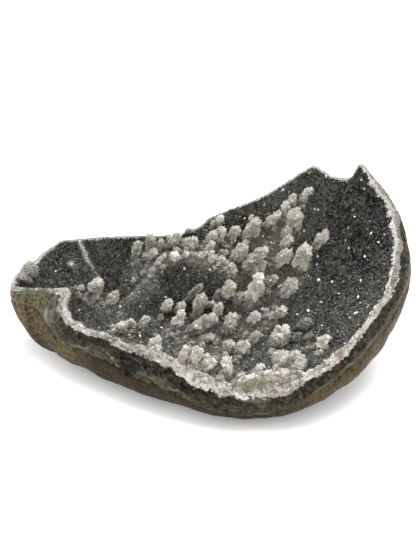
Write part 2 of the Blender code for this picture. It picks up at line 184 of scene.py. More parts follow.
# The pale fingers: where each stands (x, y), its length, its width and how far it leans to the right, in
# degrees. The dull ones are stained by the dark quartz round them.
PALE = [
    # on the left floor
    (-105, 33, 15, 10, 25), (-106, 28, 7, 4, 75), (-118, 34, 7, 4, 80), (-93, 27, 13, 9, 60),
    (-83, -14, 11, 6, 40), (-76, -4, 9, 5, 45), (-65, -2, 14, 6, 35),
    # in the middle of the hollow
    (-47, 22, 12, 7, 25), (-35, 22, 10, 7, 20), (-39, 3, 19, 8, 30),
    (-28, -1, 30, 10, 60), (-21, 17, 27, 9, 20), (-13, 24, 11, 5, 40), (-8, 9, 24, 7, 25),
    (2, -1, 22, 9, 25), (0, 29, 21, 10, 30), (13, 30, 11, 7, 35),
    (-18, -7, 14, 6, 80), (1, -21, 13, 9, 45), (12, -24, 13, 9, 45), (23, -11, 13, 8, 40),
    # just inside the front rim
    (-54, -37, 11, 8, 50), (-29, -50, 13, 7, 5), (-20, -54, 17, 7, 10), (-14, -46, 11, 7, 20),
    (-25, -51, 15, 7, 25), (-15, -54, 13, 7, 45), (3, -57, 17, 9, 15), (11, -60, 9, 5, 55),
    (24, -52, 10, 6, 55), (54, -56, 13, 9, 45), (43, -45, 12, 12, 30), (53, -45, 11, 10, 45),
    # on the right floor
    (43, -18, 19, 12, 30), (73, -36, 13, 8, 45),
    (43, 14, 15, 7, 45), (35, 16, 10, 4, 70),
    (23, 11, 13, 8, 40), (21, 25, 34, 11, 30), (36, 38, 16, 7, 40), (49, 30, 20, 11, 35),
    # on the back wall, from the right downwards and to the left
    (65, 69, 19, 6, 20), (57, 70, 15, 5, 15), (51, 67, 19, 7, 20), (56, 62, 23, 10, 25),
    (51, 60, 14, 7, 30), (50, 55, 17, 7, 35), (44, 48, 21, 9, 50), (63, 40, 28, 12, 20),
    (74, 47, 25, 7, 30), (35, 66, 23, 6, 35), (21, 63, 24, 8, 10), (26, 63, 20, 7, 25),
    (7, 65, 17, 7, 35), (-3, 64, 18, 7, 20), (-3, 71, 12, 5, 30), (-14, 61, 19, 7, 30),
    (6, 51, 26, 8, 35), (12, 54, 22, 7, 25), (18, 48, 34, 9, 25), (25, 46, 21, 7, 35), (-2, 56, 11, 7, 35),
    # behind the ridge
    (-12, 52, 15, 7, 25), (-25, 53, 13, 7, 25), (-32, 57, 14, 6, 40), (-43, 58, 18, 7, 30),
    (-53, 56, 12, 6, 40), (-58, 57, 16, 7, 20), (-64, 53, 17, 7, 45), (-71, 53, 22, 6, 20),
    # along the crest of the ridge
    (10, 41, 9, 5, 15), (1, 43, 8, 4, 35), (-9, 43, 8, 5, 55), (-8, 45, 7, 4, 15),
    (-18, 44, 7, 5, 30), (-30, 45, 6, 4, 50), (-37, 43, 8, 6, 5), (-48, 43, 7, 4, 40),
    (-57, 38, 6, 4, 60), (-4, 43, 9, 6, 30), (5, 42, 10, 6, 40),
]
DULL = [
    (-46, -13, 11, 6, 65), (-4, 27, 14, 5, 10), (-30, 26, 27, 5, 38),
    (56, -17, 10, 6, 45), (65, -19, 8, 5, 70), (63, -34, 11, 6, 65), (61, -4, 14, 8, 60),
    # the knob on the rim at the left
    (-156, 34, 12, 11, 10), (-158, 30, 8, 10, 20), (-154, 35, 9, 9, 0),
]
FINGER_TILT = 0.33  # share of the lining's normal in the way a finger points


def ease(value, low, high):
    """A smooth step from 0 at low to 1 at high."""
    share = np.clip((np.asarray(value, float) - low) / (high - low), 0.0, 1.0)
    return share * share * (3.0 - 2.0 * share)


def unit(vectors):
    """The vectors, each one long."""
    return vectors / np.linalg.norm(vectors, axis=-1, keepdims=True)


def across(first, second, share):
    """From first at the share 0 to second at 1."""
    return first + (second - first) * share


def between(value, start, full, fade, end):
    """1 between full and fade, easing to 0 at start before them and at end after them."""
    return ease(value, start, full) * ease(-value, -end, -fade)


def spot(x, y, middle_x, middle_y, reach_x, reach_y):
    """A soft round spot, 1 in its middle."""
    return np.exp(-(((x - middle_x) / reach_x) ** 2) - ((y - middle_y) / reach_y) ** 2)


# Noise


def lattice(cells, seed):
    """A fixed random number from 0 to 1 for each whole-number cell."""
    x, y, z = np.moveaxis(cells, -1, 0)
    mixed = (x * 374761393 + y * 668265263 + z * 1440662683 + seed * 974634777) & 0xFFFFFFFF
    mixed = ((mixed ^ (mixed >> 13)) * 1274126177) & 0xFFFFFFFF
    return ((mixed ^ (mixed >> 16)) & 0xFFFFFF) / 0xFFFFFF


def noise(points, size, seed=0):
    """Smooth noise from -1 to 1 whose lumps are about size across."""
    place = points / size
    cell = np.floor(place).astype(np.int64)
    share = place - cell
    share = share * share * (3.0 - 2.0 * share)
    total = np.zeros(len(points))
    for corner in itertools.product((0, 1), repeat=3):
        weight = np.prod(np.where(corner, share, 1.0 - share), axis=-1)
        total += weight * lattice(cell + np.array(corner), seed)
    return 2.0 * total - 1.0


def rough(points, size, octaves, seed=0):
    """Noise with finer and weaker noise on it."""
    layers = [noise(points, size / 2**k, seed + k) / 2**k for k in range(octaves)]
    return sum(layers) / sum(0.5**k for k in range(octaves))


def packed(points, size, seed=0):
    """Packed round lumps about size apart: the height from 0 to 1, and a number from 0 to 1 for each lump."""
    place = points / size
    cell = np.floor(place).astype(np.int64)
    nearest, own = np.full(len(points), 9.0), np.zeros(len(points))
    for corner in itertools.product((-1, 0, 1), repeat=3):
        near = cell + np.array(corner)
        middle = near + np.stack([lattice(near, seed + k) for k in (11, 12, 13)], axis=-1)
        away = np.linalg.norm(place - middle, axis=-1)
        own = np.where(away < nearest, lattice(near, seed + 14), own)
        nearest = np.minimum(nearest, away)
    return 1.0 - np.clip(nearest, 0.0, 1.0) ** 2, own


def domes(points, size, seed=0):
    """The height alone of packed round lumps."""
    return packed(points, size, seed)[0]


# The rim and the lining


def stations():
    """The rim's rows, with rows added where they are far apart as seen from the middle."""
    rows = [np.array([*inner, *outer, width], float) for inner, outer, width in RIM]
    full = []
    for row, after in zip(rows, rows[1:] + rows[:1]):
        turn = math.degrees((math.atan2(after[1], after[0]) - math.atan2(row[1], row[0])) % TURN)
        pieces = math.ceil(max(turn / MOST_TURN, math.dist(row[:2], after[:2]) / MOST_STEP))
        full += [row + (after - row) * k / pieces for k in range(pieces)]
    return np.array(full)


def averaged(values):
    """Each station's value averaged with its neighbours'."""
    reach = range(-RIM_EVEN, RIM_EVEN + 1)
    return sum(np.roll(values, step, axis=0) for step in reach) / len(reach)


def smooth_ring(rows, spacing):
    """A smooth closed curve through the rows, its points about spacing apart in the first three columns."""
    step = np.linalg.norm(np.roll(rows, -1, axis=0)[:, :3] - rows[:, :3], axis=1)
    along = (np.roll(rows, -1, axis=0) - np.roll(rows, 1, axis=0)) / (step + np.roll(step, 1))[:, None]
    pieces = []
    for k, length in enumerate(step):
        after = (k + 1) % len(rows)
        count = max(1, round(length / spacing))
        t = np.arange(count)[:, None] / count
        pieces.append(
            (2 * t**3 - 3 * t**2 + 1) * rows[k]
            + (t**3 - 2 * t**2 + t) * length * along[k]
            + (3 * t**2 - 2 * t**3) * rows[after]
            + (t**3 - t**2) * length * along[after]
        )
    return np.concatenate(pieces)


COARSE = stations()
COARSE = np.column_stack([COARSE, averaged(np.hypot(COARSE[:, 0], COARSE[:, 1])), averaged(COARSE[:, 2])])
FINE = smooth_ring(COARSE, RIM_SPACING)
INNER, OUTER, QUARTZ, EVEN_R, EVEN_Z = FINE[:, :3], FINE[:, 3:6], FINE[:, 6], FINE[:, 7], FINE[:, 8]
COUNT = len(FINE)
BEARING = np.maximum.accumulate(np.unwrap(np.arctan2(INNER[:, 1], INNER[:, 0])) + 1e-7 * np.arange(COUNT))
EDGE_R, EDGE_Z = np.hypot(INNER[:, 0], INNER[:, 1]), INNER[:, 2]
ALONG = np.cumsum(np.linalg.norm(INNER - np.roll(INNER, 1, axis=0), axis=1))  # millimetres round the rim


def at_bearing(bearing, values):
    """The rim's values read at a bearing."""
    turned = np.mod(bearing - BEARING[0], TURN) + BEARING[0]
    return np.interp(turned, np.append(BEARING, BEARING[0] + TURN), np.append(values, values[0]))


def radius_at(rho, edge_r, even_r):
    """Distance from the middle, rho being the share of the way to the rim, whose notches fade out inwards."""
    return rho * even_r + (edge_r - even_r) * ease(rho, NOTCHES_FROM, 1.0)


def wall_z(rho, edge_z, even_z):
    """Height of the plain hollow at the share rho of the way from the middle to the rim."""
    low = FLOOR_Z + (even_z - FLOOR_Z) * rho**WALL_POWER
    return low + (edge_z - even_z) * ease(rho, STEPS_FROM, 1.0)


def crest_y(x):
    """Where the ridge's crest line runs, at x."""
    crest = np.array(RIDGE, float)
    return np.interp(x, crest[:, 0], crest[:, 1])


def ridge_z(x, y):
    """Height of the ridge's own slopes at x, y, by the distance to its crest line."""
    crest = np.array(RIDGE, float)
    point = np.stack([x, y], axis=-1)
    slope = np.where(y > crest_y(x), RIDGE_BACK, RIDGE_FRONT)
    best, nearest = np.full(np.shape(x), -1e3), np.full(np.shape(x), np.inf)
    for start, end in zip(crest, crest[1:]):
        along = end[:2] - start[:2]
        share = np.clip((point - start[:2]) @ along / (along @ along), 0.0, 1.0)
        away = point - start[:2] - share[..., None] * along
        distance = np.hypot(away[..., 0], away[..., 1])
        drop = np.sqrt((slope * distance) ** 2 + RIDGE_ROUND**2) - RIDGE_ROUND
        height = start[2] + share * (end[2] - start[2]) - drop
        best = np.where(distance < nearest, height, best)
        nearest = np.minimum(nearest, distance)
    return best


def with_ridge(x, y, z):
    """The wall and the ridge, whichever is higher, with a soft joint."""
    other = ridge_z(x, y)
    both = 0.5 * (z + other + np.sqrt((z - other) ** 2 + RIDGE_BLEND**2))
    near = ease(RIDGE_REACH - (z - other), 0.0, RIDGE_REACH)
    return z + (both - z) * near


def lining(rho, bearing):
    """Points of the hollow's lining at a share of the way to the rim and a bearing."""
    radius = radius_at(rho, at_bearing(bearing, EDGE_R), at_bearing(bearing, EVEN_R))
    x, y = radius * np.cos(bearing), radius * np.sin(bearing)
    z = wall_z(rho, at_bearing(bearing, EDGE_Z), at_bearing(bearing, EVEN_Z))
    return np.stack([x, y, with_ridge(x, y, z)], axis=-1)


def lining_cross(rho, bearing):
    """The lining's normal, into the hollow, as long as the area that one unit of rho and bearing covers."""
    inwards, outwards = np.maximum(rho - SLIGHTLY, MIDDLE), np.minimum(rho + SLIGHTLY, 1.0)
    radial = (lining(outwards, bearing) - lining(inwards, bearing)) / (outwards - inwards)[:, None]
    sideways = (lining(rho, bearing + SLIGHTLY) - lining(rho, bearing - SLIGHTLY)) / (2.0 * SLIGHTLY)
    return np.cross(radial, sideways)


def rim_share(x, y):
    """How far x, y is on the way to the rim, as a share, found by halving."""
    bearing, radius = np.arctan2(y, x), np.hypot(x, y)
    edge_r, even_r = at_bearing(bearing, EDGE_R), at_bearing(bearing, EVEN_R)
    low, high = np.zeros_like(radius), np.ones_like(radius)
    for _ in range(HALVINGS):
        middle = 0.5 * (low + high)
        inside = radius_at(middle, edge_r, even_r) < radius
        low, high = np.where(inside, middle, low), np.where(inside, high, middle)
    return 0.5 * (low + high)


# Meshes


def new_piece(name, points, faces, materials, attributes, material_of=None):
    """A flat-shaded mesh object from points in millimetres, riding on the rock.

    Each attribute has a value or a vector for every point or for every face.
    """
    mesh = bpy.data.meshes.new(name)
    mesh.from_pydata((points * MM).tolist(), [], faces.tolist())
    for key, values in attributes.items():
        domain = "POINT" if len(values) == len(points) else "FACE"
        kind, field = ("FLOAT_VECTOR", "vector") if np.ndim(values) == 2 else ("FLOAT", "value")
        layer = mesh.attributes.new(key, kind, domain)
        layer.data.foreach_set(field, np.ravel(values).astype(np.float32))
    for material in materials:
        mesh.materials.append(material)
    if material_of is not None:
        mesh.polygons.foreach_set("material_index", np.asarray(material_of, np.int32))
    mesh.update()
    if mesh.validate():
        raise RuntimeError(f"{name} has faces that aren't sound")
    piece = bpy.data.objects.new(name, mesh)
    bpy.context.collection.objects.link(piece)
    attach(piece, "root")
    return piece


def crystals(sites, normals, triangles, rise, sink, lean, dice):
    """A skin of pointed crystals: a tip over each site and a valley in the middle of each triangle of sites.

    It returns the points, tips first, the three-cornered faces and each face's own site.
    """
    count = len(sites)
    tips = sites + rise[:, None] * (normals + lean * dice.normal(size=(count, 3)))
    middles = sites[triangles].mean(axis=1)
    inwards = unit(normals[triangles].mean(axis=1))
    reach = np.linalg.norm(sites[triangles[:, 0]] - middles, axis=1)
    valleys = middles - inwards * (sink * reach * dice.uniform(0.5, 1.5, len(middles)))[:, None]
    start = np.concatenate([triangles[:, 0], triangles[:, 1], triangles[:, 2]])
    end = np.concatenate([triangles[:, 1], triangles[:, 2], triangles[:, 0]])
    owner = np.tile(np.arange(len(triangles)), 3)
    key, back = start * count + end, end * count + start
    order = np.argsort(key)
    found = np.minimum(np.searchsorted(key[order], back), len(key) - 1)
    twin = np.where(key[order][found] == back, owner[order][found], -1)
    third = np.where(twin >= 0, count + twin, end)
    faces = np.stack([start, third, count + owner], axis=1)
    return np.concatenate([tips, valleys]), faces, start


def ring_faces(first, second, count):
    """Two triangles in each gap between two rings of points, given by each ring's first point."""
    k = np.arange(count)
    after = (k + 1) % count
    one = np.stack([first + k, second + k, second + after], axis=1)
    two = np.stack([first + k, second + after, first + after], axis=1)
    return np.concatenate([one, two])


def fan_faces(middle, ring, count, outwards=True):
    """Triangles from a middle point to a ring."""
    k = np.arange(count)
    after = (k + 1) % count
    near, far = (ring + k, ring + after) if outwards else (ring + after, ring + k)
    return np.stack([np.full(count, middle), near, far], axis=1)


# Materials


def linear(code):
    """The linear colour of an sRGB hex value."""
    parts = [int(code[k : k + 2], 16) / 255.0 for k in (1, 3, 5)]
    return tuple(c / 12.92 if c <= 0.04045 else ((c + 0.055) / 1.055) ** 2.4 for c in parts)


def add_node(tree, kind, settings=(), links=()):
    """A node with its settings, and its inputs joined to other nodes' outputs or set to values."""
    node = tree.nodes.new(kind)
    for key, value in dict(settings).items():
        setattr(node, key, value)
    for key, source in dict(links).items():
        if isinstance(source, bpy.types.NodeSocket):
            tree.links.new(source, node.inputs[key])
        else:
            node.inputs[key].default_value = source
    return node


class Finish:
    """A material being made: its node tree, its colour so far, and the few steps that all finishes share."""

    def __init__(self, name, colour):
        self.material = bpy.data.materials.new(name)
        self.material.use_nodes = True
        self.tree = self.material.node_tree
        self.shader = self.tree.nodes["Principled BSDF"]
        self.place = self.node("ShaderNodeTexCoord").outputs["Object"]
        self.colour = colour

    def node(self, kind, settings=(), links=()):
        return add_node(self.tree, kind, settings, links)

    def grain(self, size, detail=2.0, place=None):
        """Noise from 0 to 1 with lumps about size millimetres across."""
        links = {"Scale": 0.5 / (size * MM), "Detail": detail, "Roughness": 0.55}
        links["Vector"] = place or self.place
        return self.node("ShaderNodeTexNoise", (), links).outputs["Fac"]

    def ramp(self, value, low, high, start=0.0, end=1.0):
        """The value's stretch from low to high as start to end, smoothed."""
        links = {"Value": value, "From Min": low, "From Max": high, "To Min": start, "To Max": end}
        return self.node("ShaderNodeMapRange", {"interpolation_type": "SMOOTHSTEP"}, links).outputs["Result"]

    def spots(self, size, low, high, start=0.0, end=1.0, detail=2.0, place=None):
        """Patches about size millimetres across, with borders as sharp as low and high are close."""
        return self.ramp(self.grain(size, detail, place), low, high, start, end)

    def cracks(self, size):
        """Thin wandering lines round patches about size millimetres across, missing here and there."""
        links = {"Vector": self.place, "Scale": 1.0 / (size * MM), "Detail": 3.0}
        wander = self.node("ShaderNodeTexNoise", links=links).outputs["Color"]
        links = {0: wander, 1: (0.6 * size * MM,) * 3, 2: self.place}
        bent = self.node("ShaderNodeVectorMath", {"operation": "MULTIPLY_ADD"}, links).outputs["Vector"]
        links = {"Vector": bent, "Scale": 1.0 / (size * MM)}
        edges = self.node("ShaderNodeTexVoronoi", {"feature": "DISTANCE_TO_EDGE"}, links).outputs["Distance"]
        return self.times(self.ramp(edges, 0.0, 0.09, 0.9, 0.0), self.spots(11.0, 0.38, 0.55))

    def read(self, name, output="Fac"):
        return self.node("ShaderNodeAttribute", {"attribute_name": name}).outputs[output]

    def maths(self, operation, first, second):
        return self.node("ShaderNodeMath", {"operation": operation}, {0: first, 1: second}).outputs[0]

    def times(self, first, *others):
        for other in others:
            first = self.maths("MULTIPLY", first, other)
        return first

    def mix(self, share, first, second):
        """Two colours mixed, each given as a socket or a linear colour."""
        first, second = (c if isinstance(c, bpy.types.NodeSocket) else (*c, 1.0) for c in (first, second))
        links = {"Factor": share, 6: first, 7: second}
        return self.node("ShaderNodeMix", {"data_type": "RGBA"}, links).outputs[2]

    def lay(self, share, colour):
        """Lays a colour over the one so far."""
        self.colour = self.mix(share, self.colour, colour)

    def set(self, name, value):
        if isinstance(value, bpy.types.NodeSocket):
            self.tree.links.new(value, self.shader.inputs[name])
        else:
            self.shader.inputs[name].default_value = value

    def surface(self, roughness, ior, specular, relief, depth):
        """Finishes the material, with relief about depth millimetres deep, and returns it."""
        links = {"Height": relief, "Distance": depth * MM, "Strength": 1.0}
        normal = self.node("ShaderNodeBump", links=links).outputs["Normal"]
        names = ("Base Color", "Roughness", "IOR", "Specular IOR Level", "Normal")
        for name, value in zip(names, (self.colour, roughness, ior, specular, normal)):
            self.set(name, value)
        return self.material


def smoky_druse(colours):
    """Smoky quartz druse, grown in a gas pocket: glassy points, nearly black in the mass.

    They are grey where light gets in. Each crystal has its own tone, and near the rim they turn milky. A single
    facet's glint is too fine to show, so a few whole crystals carry a painted highlight, and the ridge's front
    and a zone beside the right band carry painted shade.
    """
    finish = Finish("smoky_quartz_druse", colours.druse_dark)
    # painted shade: the near-black zone beside the right band, laid in the basalt's black
    finish.lay(finish.read("deep"), colours.basalt_dark)
    finish.lay(finish.read("tone"), colours.druse_light)
    # painted shade with an olive tint on the ridge's front, and real olive patches at the left
    finish.lay(finish.times(finish.read("olive_and_shade"), 0.7), colours.druse_olive_and_shade)
    finish.lay(finish.spots(0.5, 0.35, 0.75, 0.0, 0.25), colours.druse_light)
    finish.lay(finish.times(finish.read("pale"), 0.8), colours.finger_grey)
    finish.lay(finish.read("frost"), colours.quartz_white)
    # painted highlight: the crystals painted bright as glints
    finish.lay(finish.read("glint"), finish.read("spark", "Color"))
    return finish.surface(finish.spots(1.0, 0.3, 0.7, 0.14, 0.4), 1.544, 0.4, finish.grain(0.4), 0.05)


def drusy_fingers(colours):
    """Fingers of chalcedony sugared with quartz points: a dull grey-beige glow, lighter at the tips."""
    finish = Finish("sugared_chalcedony", colours.finger_foot)
    pale = finish.mix(finish.read("tone"), colours.finger_grey, colours.finger_pale)
    pale = finish.mix(finish.read("warm"), pale, colours.finger_warm)
    # painted light and shade: lighter towards the tip and darker at the foot, as light passing through the
    # finger makes it look
    finish.lay(finish.ramp(finish.read("rise"), 0.0, 0.55), pale)
    # dullness, which on the fingers behind the ridge is painted shade
    finish.lay(finish.read("dull"), colours.finger_foot)
    finish.lay(finish.spots(0.6, 0.45, 0.75, 0.0, 0.35), colours.quartz_white)
    finish.lay(finish.read("stain"), colours.iron_stain)
    # painted highlight: the crystals painted bright as glints
    finish.lay(finish.read("glint"), colours.spark)
    finish.set("Subsurface Weight", 0.35)
    finish.set("Subsurface Scale", 2.5 * MM)
    finish.set("Subsurface Radius", (1.0, 0.95, 0.85))
    return finish.surface(finish.spots(1.0, 0.3, 0.7, 0.2, 0.45), 1.54, 0.5, finish.grain(0.4), 0.06)


def milky_quartz(colours):
    """Milky quartz, sawn through and ground at the rim: white and sugary, with greyer and rusty patches."""
    finish = Finish("milky_quartz", colours.quartz_grey)
    finish.lay(finish.read("tone"), colours.quartz_white)
    finish.lay(finish.spots(3.0, 0.5, 0.7, 0.0, 0.5, 3.0), colours.quartz_grey)
    finish.lay(finish.read("chalcedony"), colours.chalcedony)
    finish.lay(finish.read("stain"), colours.iron_stain)
    return finish.surface(finish.spots(1.5, 0.3, 0.7, 0.28, 0.5), 1.54, 0.5, finish.grain(0.5), 0.08)


def ground_basalt(colours):
    """Basalt, sawn and ground smooth: green-black with celadonite mottles and brown specks, a dull polish."""
    finish = Finish("ground_basalt", colours.basalt_dark)
    reach, sheet = finish.read("across"), finish.read("sheet", "Vector")
    finish.lay(finish.spots(3.0, 0.46, 0.58, detail=4.0), colours.basalt)
    brown = finish.times(finish.spots(2.0, 0.44, 0.64, detail=5.0), finish.read("brown"), 0.7)
    finish.lay(brown, colours.basalt_brown)
    # the celadonite, in mottles and in streaks, mostly towards the rind
    wander = finish.maths("ADD", reach, finish.spots(5.0, 0.3, 0.7, -0.22, 0.22, 3.0))
    green = finish.read("green")
    mottles = finish.spots(2.2, 0.42, 0.56, 0.25, 1.0, 4.0)
    finish.lay(finish.times(finish.ramp(wander, 0.45, 0.7), green, mottles), colours.celadonite)
    streaks = finish.spots(1.4, 0.56, 0.68, 0.0, 0.65, 3.0, sheet)
    streaks = finish.times(streaks, finish.ramp(green, 0.0, 0.5, 0.25, 1.0))
    finish.lay(finish.times(streaks, finish.ramp(wander, 0.2, 0.6)), colours.chalcedony)
    finish.lay(finish.spots(0.9, 0.62, 0.7, 0.0, 0.35), colours.basalt_speck)
    # cloudy chalcedony, sugared with quartz, and a rime of quartz beside the white band
    clouds = finish.spots(1.6, 0.44, 0.62, detail=4.0, place=sheet)
    cloudy = finish.mix(clouds, colours.basalt, colours.chalcedony)
    sugar = finish.times(finish.spots(1.6, 0.54, 0.64, 0.0, 0.9, 3.0), finish.read("sugar"))
    finish.lay(finish.read("chalcedony"), finish.mix(sugar, cloudy, colours.quartz_white))
    rime = finish.maths("ADD", finish.grain(1.6, 3.0), finish.ramp(reach, 0.0, 0.35, 0.12, -0.25))
    finish.lay(finish.times(finish.ramp(rime, 0.56, 0.64), finish.read("rime")), colours.quartz_white)
    finish.lay(finish.read("stain"), colours.iron_stain)
    # the worn and cracked part at the left, with its pale lens
    worn = finish.mix(finish.spots(2.5, 0.42, 0.6, 0.0, 0.6, 3.0), colours.celadonite, colours.chalcedony)
    worn = finish.mix(finish.ramp(wander, 0.3, 0.9, 0.0, 0.75), worn, colours.rind)
    worn = finish.mix(finish.spots(1.3, 0.52, 0.66, 0.0, 0.7, 3.0), worn, colours.rind_dark)
    cracks = finish.times(finish.cracks(5.0), finish.ramp(wander, 0.2, 0.6))
    finish.lay(finish.read("ochre"), finish.mix(cracks, worn, colours.basalt_dark))
    lens = finish.mix(finish.spots(2.5, 0.42, 0.6, detail=3.0), colours.celadonite_pale, colours.celadonite)
    finish.lay(finish.read("lens"), lens)
    finish.lay(finish.read("outline"), colours.quartz_white)
    # pits, the pale line inside the edge, the brown edge itself and the chip in it
    finish.lay(finish.spots(1.5, 0.3, 0.4, 0.8, 0.0), colours.basalt_dark)
    strip = finish.maths("ADD", reach, finish.spots(4.0, 0.3, 0.7, -0.12, 0.12, 4.0))
    strip = finish.times(finish.ramp(strip, 0.7, 0.78), finish.ramp(strip, 0.84, 0.96, 1.0, 0.0))
    finish.lay(finish.times(strip, finish.read("strip")), colours.celadonite_pale)
    finish.lay(finish.ramp(reach, 0.9, 1.0, 0.0, 0.5), colours.rind)
    finish.lay(finish.read("chip"), colours.basalt_dark)
    return finish.surface(finish.spots(2.0, 0.3, 0.7, 0.22, 0.45), 1.6, 0.12, finish.grain(1.2, 3.0), 0.15)


def weathered_rind(colours):
    """The rind of a basalt nodule, weathered brown and rubbed smooth: streaks, pits and hairlines."""
    finish = Finish("weathered_rind", colours.rind_dark)
    sheet, streaky = finish.read("sheet", "Vector"), finish.read("streaky")
    streaks = finish.grain(2.0, 4.0, sheet)
    finish.lay(finish.spots(16.0, 0.3, 0.6, 0.35, 1.0, 4.0), colours.rind)
    finish.lay(finish.times(finish.ramp(streaks, 0.4, 0.62, 0.0, 0.75), streaky), colours.rind_light)
    finish.lay(finish.spots(1.6, 0.4, 0.56, 0.6, 0.0, 4.0), colours.rind_dark)
    finish.lay(finish.spots(5.0, 0.58, 0.7, 0.0, 0.5, 3.0), colours.celadonite)
    finish.lay(finish.spots(0.8, 0.55, 0.7, 0.0, 0.5), colours.rind_light)
    finish.lay(finish.times(finish.cracks(6.5), finish.read("crackle")), colours.basalt_dark)
    finish.lay(finish.times(finish.spots(0.9, 0.5, 0.62, 0.0, 0.8, 4.0, sheet), streaky), colours.rind_dark)
    finish.lay(finish.spots(1.1, 0.56, 0.66, 0.0, 0.8, 3.0), colours.basalt_dark)
    # painted shade: darker down towards the floor, and by the next mark towards the front
    finish.lay(finish.ramp(finish.read("fall"), 0.1, 0.6, 0.0, 0.7), colours.rind_dark)
    finish.lay(finish.read("painted_rind_shade"), colours.rind_dark)
    finish.lay(finish.read("chip"), colours.basalt_dark)
    relief = finish.maths("ADD", finish.grain(0.9, 3.0), streaks)
    return finish.surface(finish.ramp(streaks, 0.3, 0.7, 0.38, 0.62), 1.55, 0.08, relief, 0.3)


def studio_floor(colours):
    """Matt white background paper, with a fine tooth."""
    finish = Finish("background_paper", colours.floor)
    finish.lay(finish.grain(2.0), tuple(0.985 * c for c in colours.floor))
    return finish.surface(0.9, 1.5, 0.1, finish.grain(0.8), 0.02)


# Sizes and colours


def length(name, description, millimetres):
    """A length that the sidebar shows in the scene's units."""
    size = millimetres * MM
    return FloatProperty(name=name, description=description, default=size, unit="LENGTH", precision=5)


def colour(name, description, code):
    """A colour, given as its sRGB hex value."""
    return FloatVectorProperty(
        name=name, description=description, default=linear(code), subtype="COLOR", size=3, min=0.0, max=1.0
    )


class GeodeSizes(bpy.types.PropertyGroup):
    """Sizes of the fine surface."""

    druse_grain: length("Druse crystal", "Least distance between the dark crystals", 1.25)
    finger_grain: length("Finger crystal", "Distance between the crystals on a finger", 1.15)
    druse_lumps: length("Druse lumps", "Size of the lumps under the dark crystals", 9.0)
    band_relief: length("Band relief", "Height of the lumps in the white band", 2.0)
    pit_depth: length("Pit depth", "Depth of the pits in the rind", 0.7)
    fall_steps: IntProperty(name="Rind rings", description="Rings of points down it", default=76, min=10)


class GeodeColours(bpy.types.PropertyGroup):
    """Colours of the stone."""

    druse_dark: colour("Druse, dark", "Smoky quartz in the mass", "#171715")
    druse_light: colour("Druse, light", "Smoky quartz where light gets in", "#4f4f47")
    # a darkened olive: painted shade on the ridge's front, and the colour of the olive patches at the left
    druse_olive_and_shade: colour("Druse, olive", "Smoky quartz on the ridge's front", "#222216")
    quartz_white: colour("Quartz, white", "Milky quartz", "#c2beb7")
    # painted highlight: the colour of the finger crystals painted as glints
    spark: colour("Quartz, clear", "Crystals that catch the light", "#cfcecb")
    quartz_grey: colour("Quartz, grey", "Greyer patches in the white band", "#6a6860")
    chalcedony: colour("Chalcedony", "Grey-green bands in the ground face", "#63614f")
    finger_pale: colour("Finger, pale", "Light crystals of a finger", "#b7b4aa")
    finger_grey: colour("Finger, grey", "Darker crystals of a finger", "#7a786e")
    # also laid as painted shade on the fingers' feet and on the fingers behind the ridge
    finger_foot: colour("Finger, foot", "Where a finger grows out of the druse", "#4f4f49")
    finger_warm: colour("Finger, beige", "Warmer tint of some fingers", "#817867")
    iron_stain: colour("Iron stain", "Reddish specks", "#714f3e")
    basalt_dark: colour("Basalt, dark", "Green-black basalt", "#060704")
    basalt: colour("Basalt", "Green-grey basalt", "#16160d")
    basalt_brown: colour("Basalt, brown", "Brown specks in the basalt", "#42341b")
    basalt_speck: colour("Basalt, specks", "Light specks in the basalt", "#747164")
    celadonite: colour("Celadonite", "Grey-green mottles", "#4c4e3f")
    celadonite_pale: colour("Celadonite, pale", "The pale green lens at the left", "#676a5d")
    rind: colour("Rind", "Brown weathered rind", "#5c4d31")
    rind_dark: colour("Rind, dark", "Darker rind", "#1e170b")
    rind_light: colour("Rind, light", "Rubbed rind", "#7b6c50")
    floor: colour("Paper", "Background paper", "#fbfbfa")


# Pieces


def facet_share(x, y):
    """Where the band widens to the banded facet, from 0 to 1."""
    return between(x, 2.0, 32.0, 46.0, 66.0) * ease(-y, 35.0, 45.0)


def band_share():
    """The share of the ground face that the white quartz takes round the rim, with an uneven outer border."""
    x, y = INNER[:, 0], INNER[:, 1]
    width = np.linalg.norm(OUTER - INNER, axis=1)
    uneven = 0.3 * noise(INNER, 18.0, 5) + 0.28 * noise(INNER, 7.0, 3) + 0.14 * noise(INNER, 3.6, 4)
    less = 0.25 * ease(-x, 126.0, 134.0) + 0.2 * ease(-x, 15.0, 40.0) - 0.7 * ease(-x, 150.0, 162.0)
    narrow = 1.0 - 0.2 * ease(x, 25.0, 55.0)
    rising = 0.85 * ease(x, 98.0, 106.0) * ease(y, 20.0, 38.0)
    wide = 0.2 * facet_share(x, y) * (0.8 + 0.4 * noise(INNER, 9.0, 7))
    return np.clip(np.maximum(QUARTZ * narrow * (1.0 + uneven - less) / width + wide, rising), 0.12, 0.85)


def facing(x, y):
    """Where the ground face turns to the viewer and shows its white, from 0 at the back to 1 at the front."""
    front = np.maximum(ease(-y, -30.0, 0.0), ease(x, 100.0, 115.0))
    return np.maximum(front, ease(-x, 146.0, 158.0) * ease(-y, -50.0, -38.0))


def face_normal():
    """The ground face's normal round the rim."""
    sideways = np.roll(INNER, -1, axis=0) - np.roll(INNER, 1, axis=0)
    return unit(np.cross(OUTER - INNER, sideways))


def skin_ring(t):
    """The rind's points at the share t of the way from the ground face to the flat."""
    turn = np.arctan2(OUTER[:, 1], OUTER[:, 0])
    bearing, *shape = np.array(SKIN).T
    swell, drop, spread = (np.interp(np.degrees(turn) % 360.0, bearing, row)[:, None] for row in shape)
    foot = np.stack([FOOT[0] * np.cos(turn), FOOT[1] * np.sin(turn), np.zeros(COUNT)], axis=-1)
    out = unit((OUTER - INNER) * [1.0, 1.0, 0.0])
    below = OUTER - drop * OUTER * [0.0, 0.0, 1.0] + swell * out
    tuck = foot + spread * (OUTER * [1.0, 1.0, 0.0] - foot)
    s = 1.0 - t
    return s**3 * OUTER + 3 * s * s * t * below + 3 * s * t * t * tuck + t**3 * foot


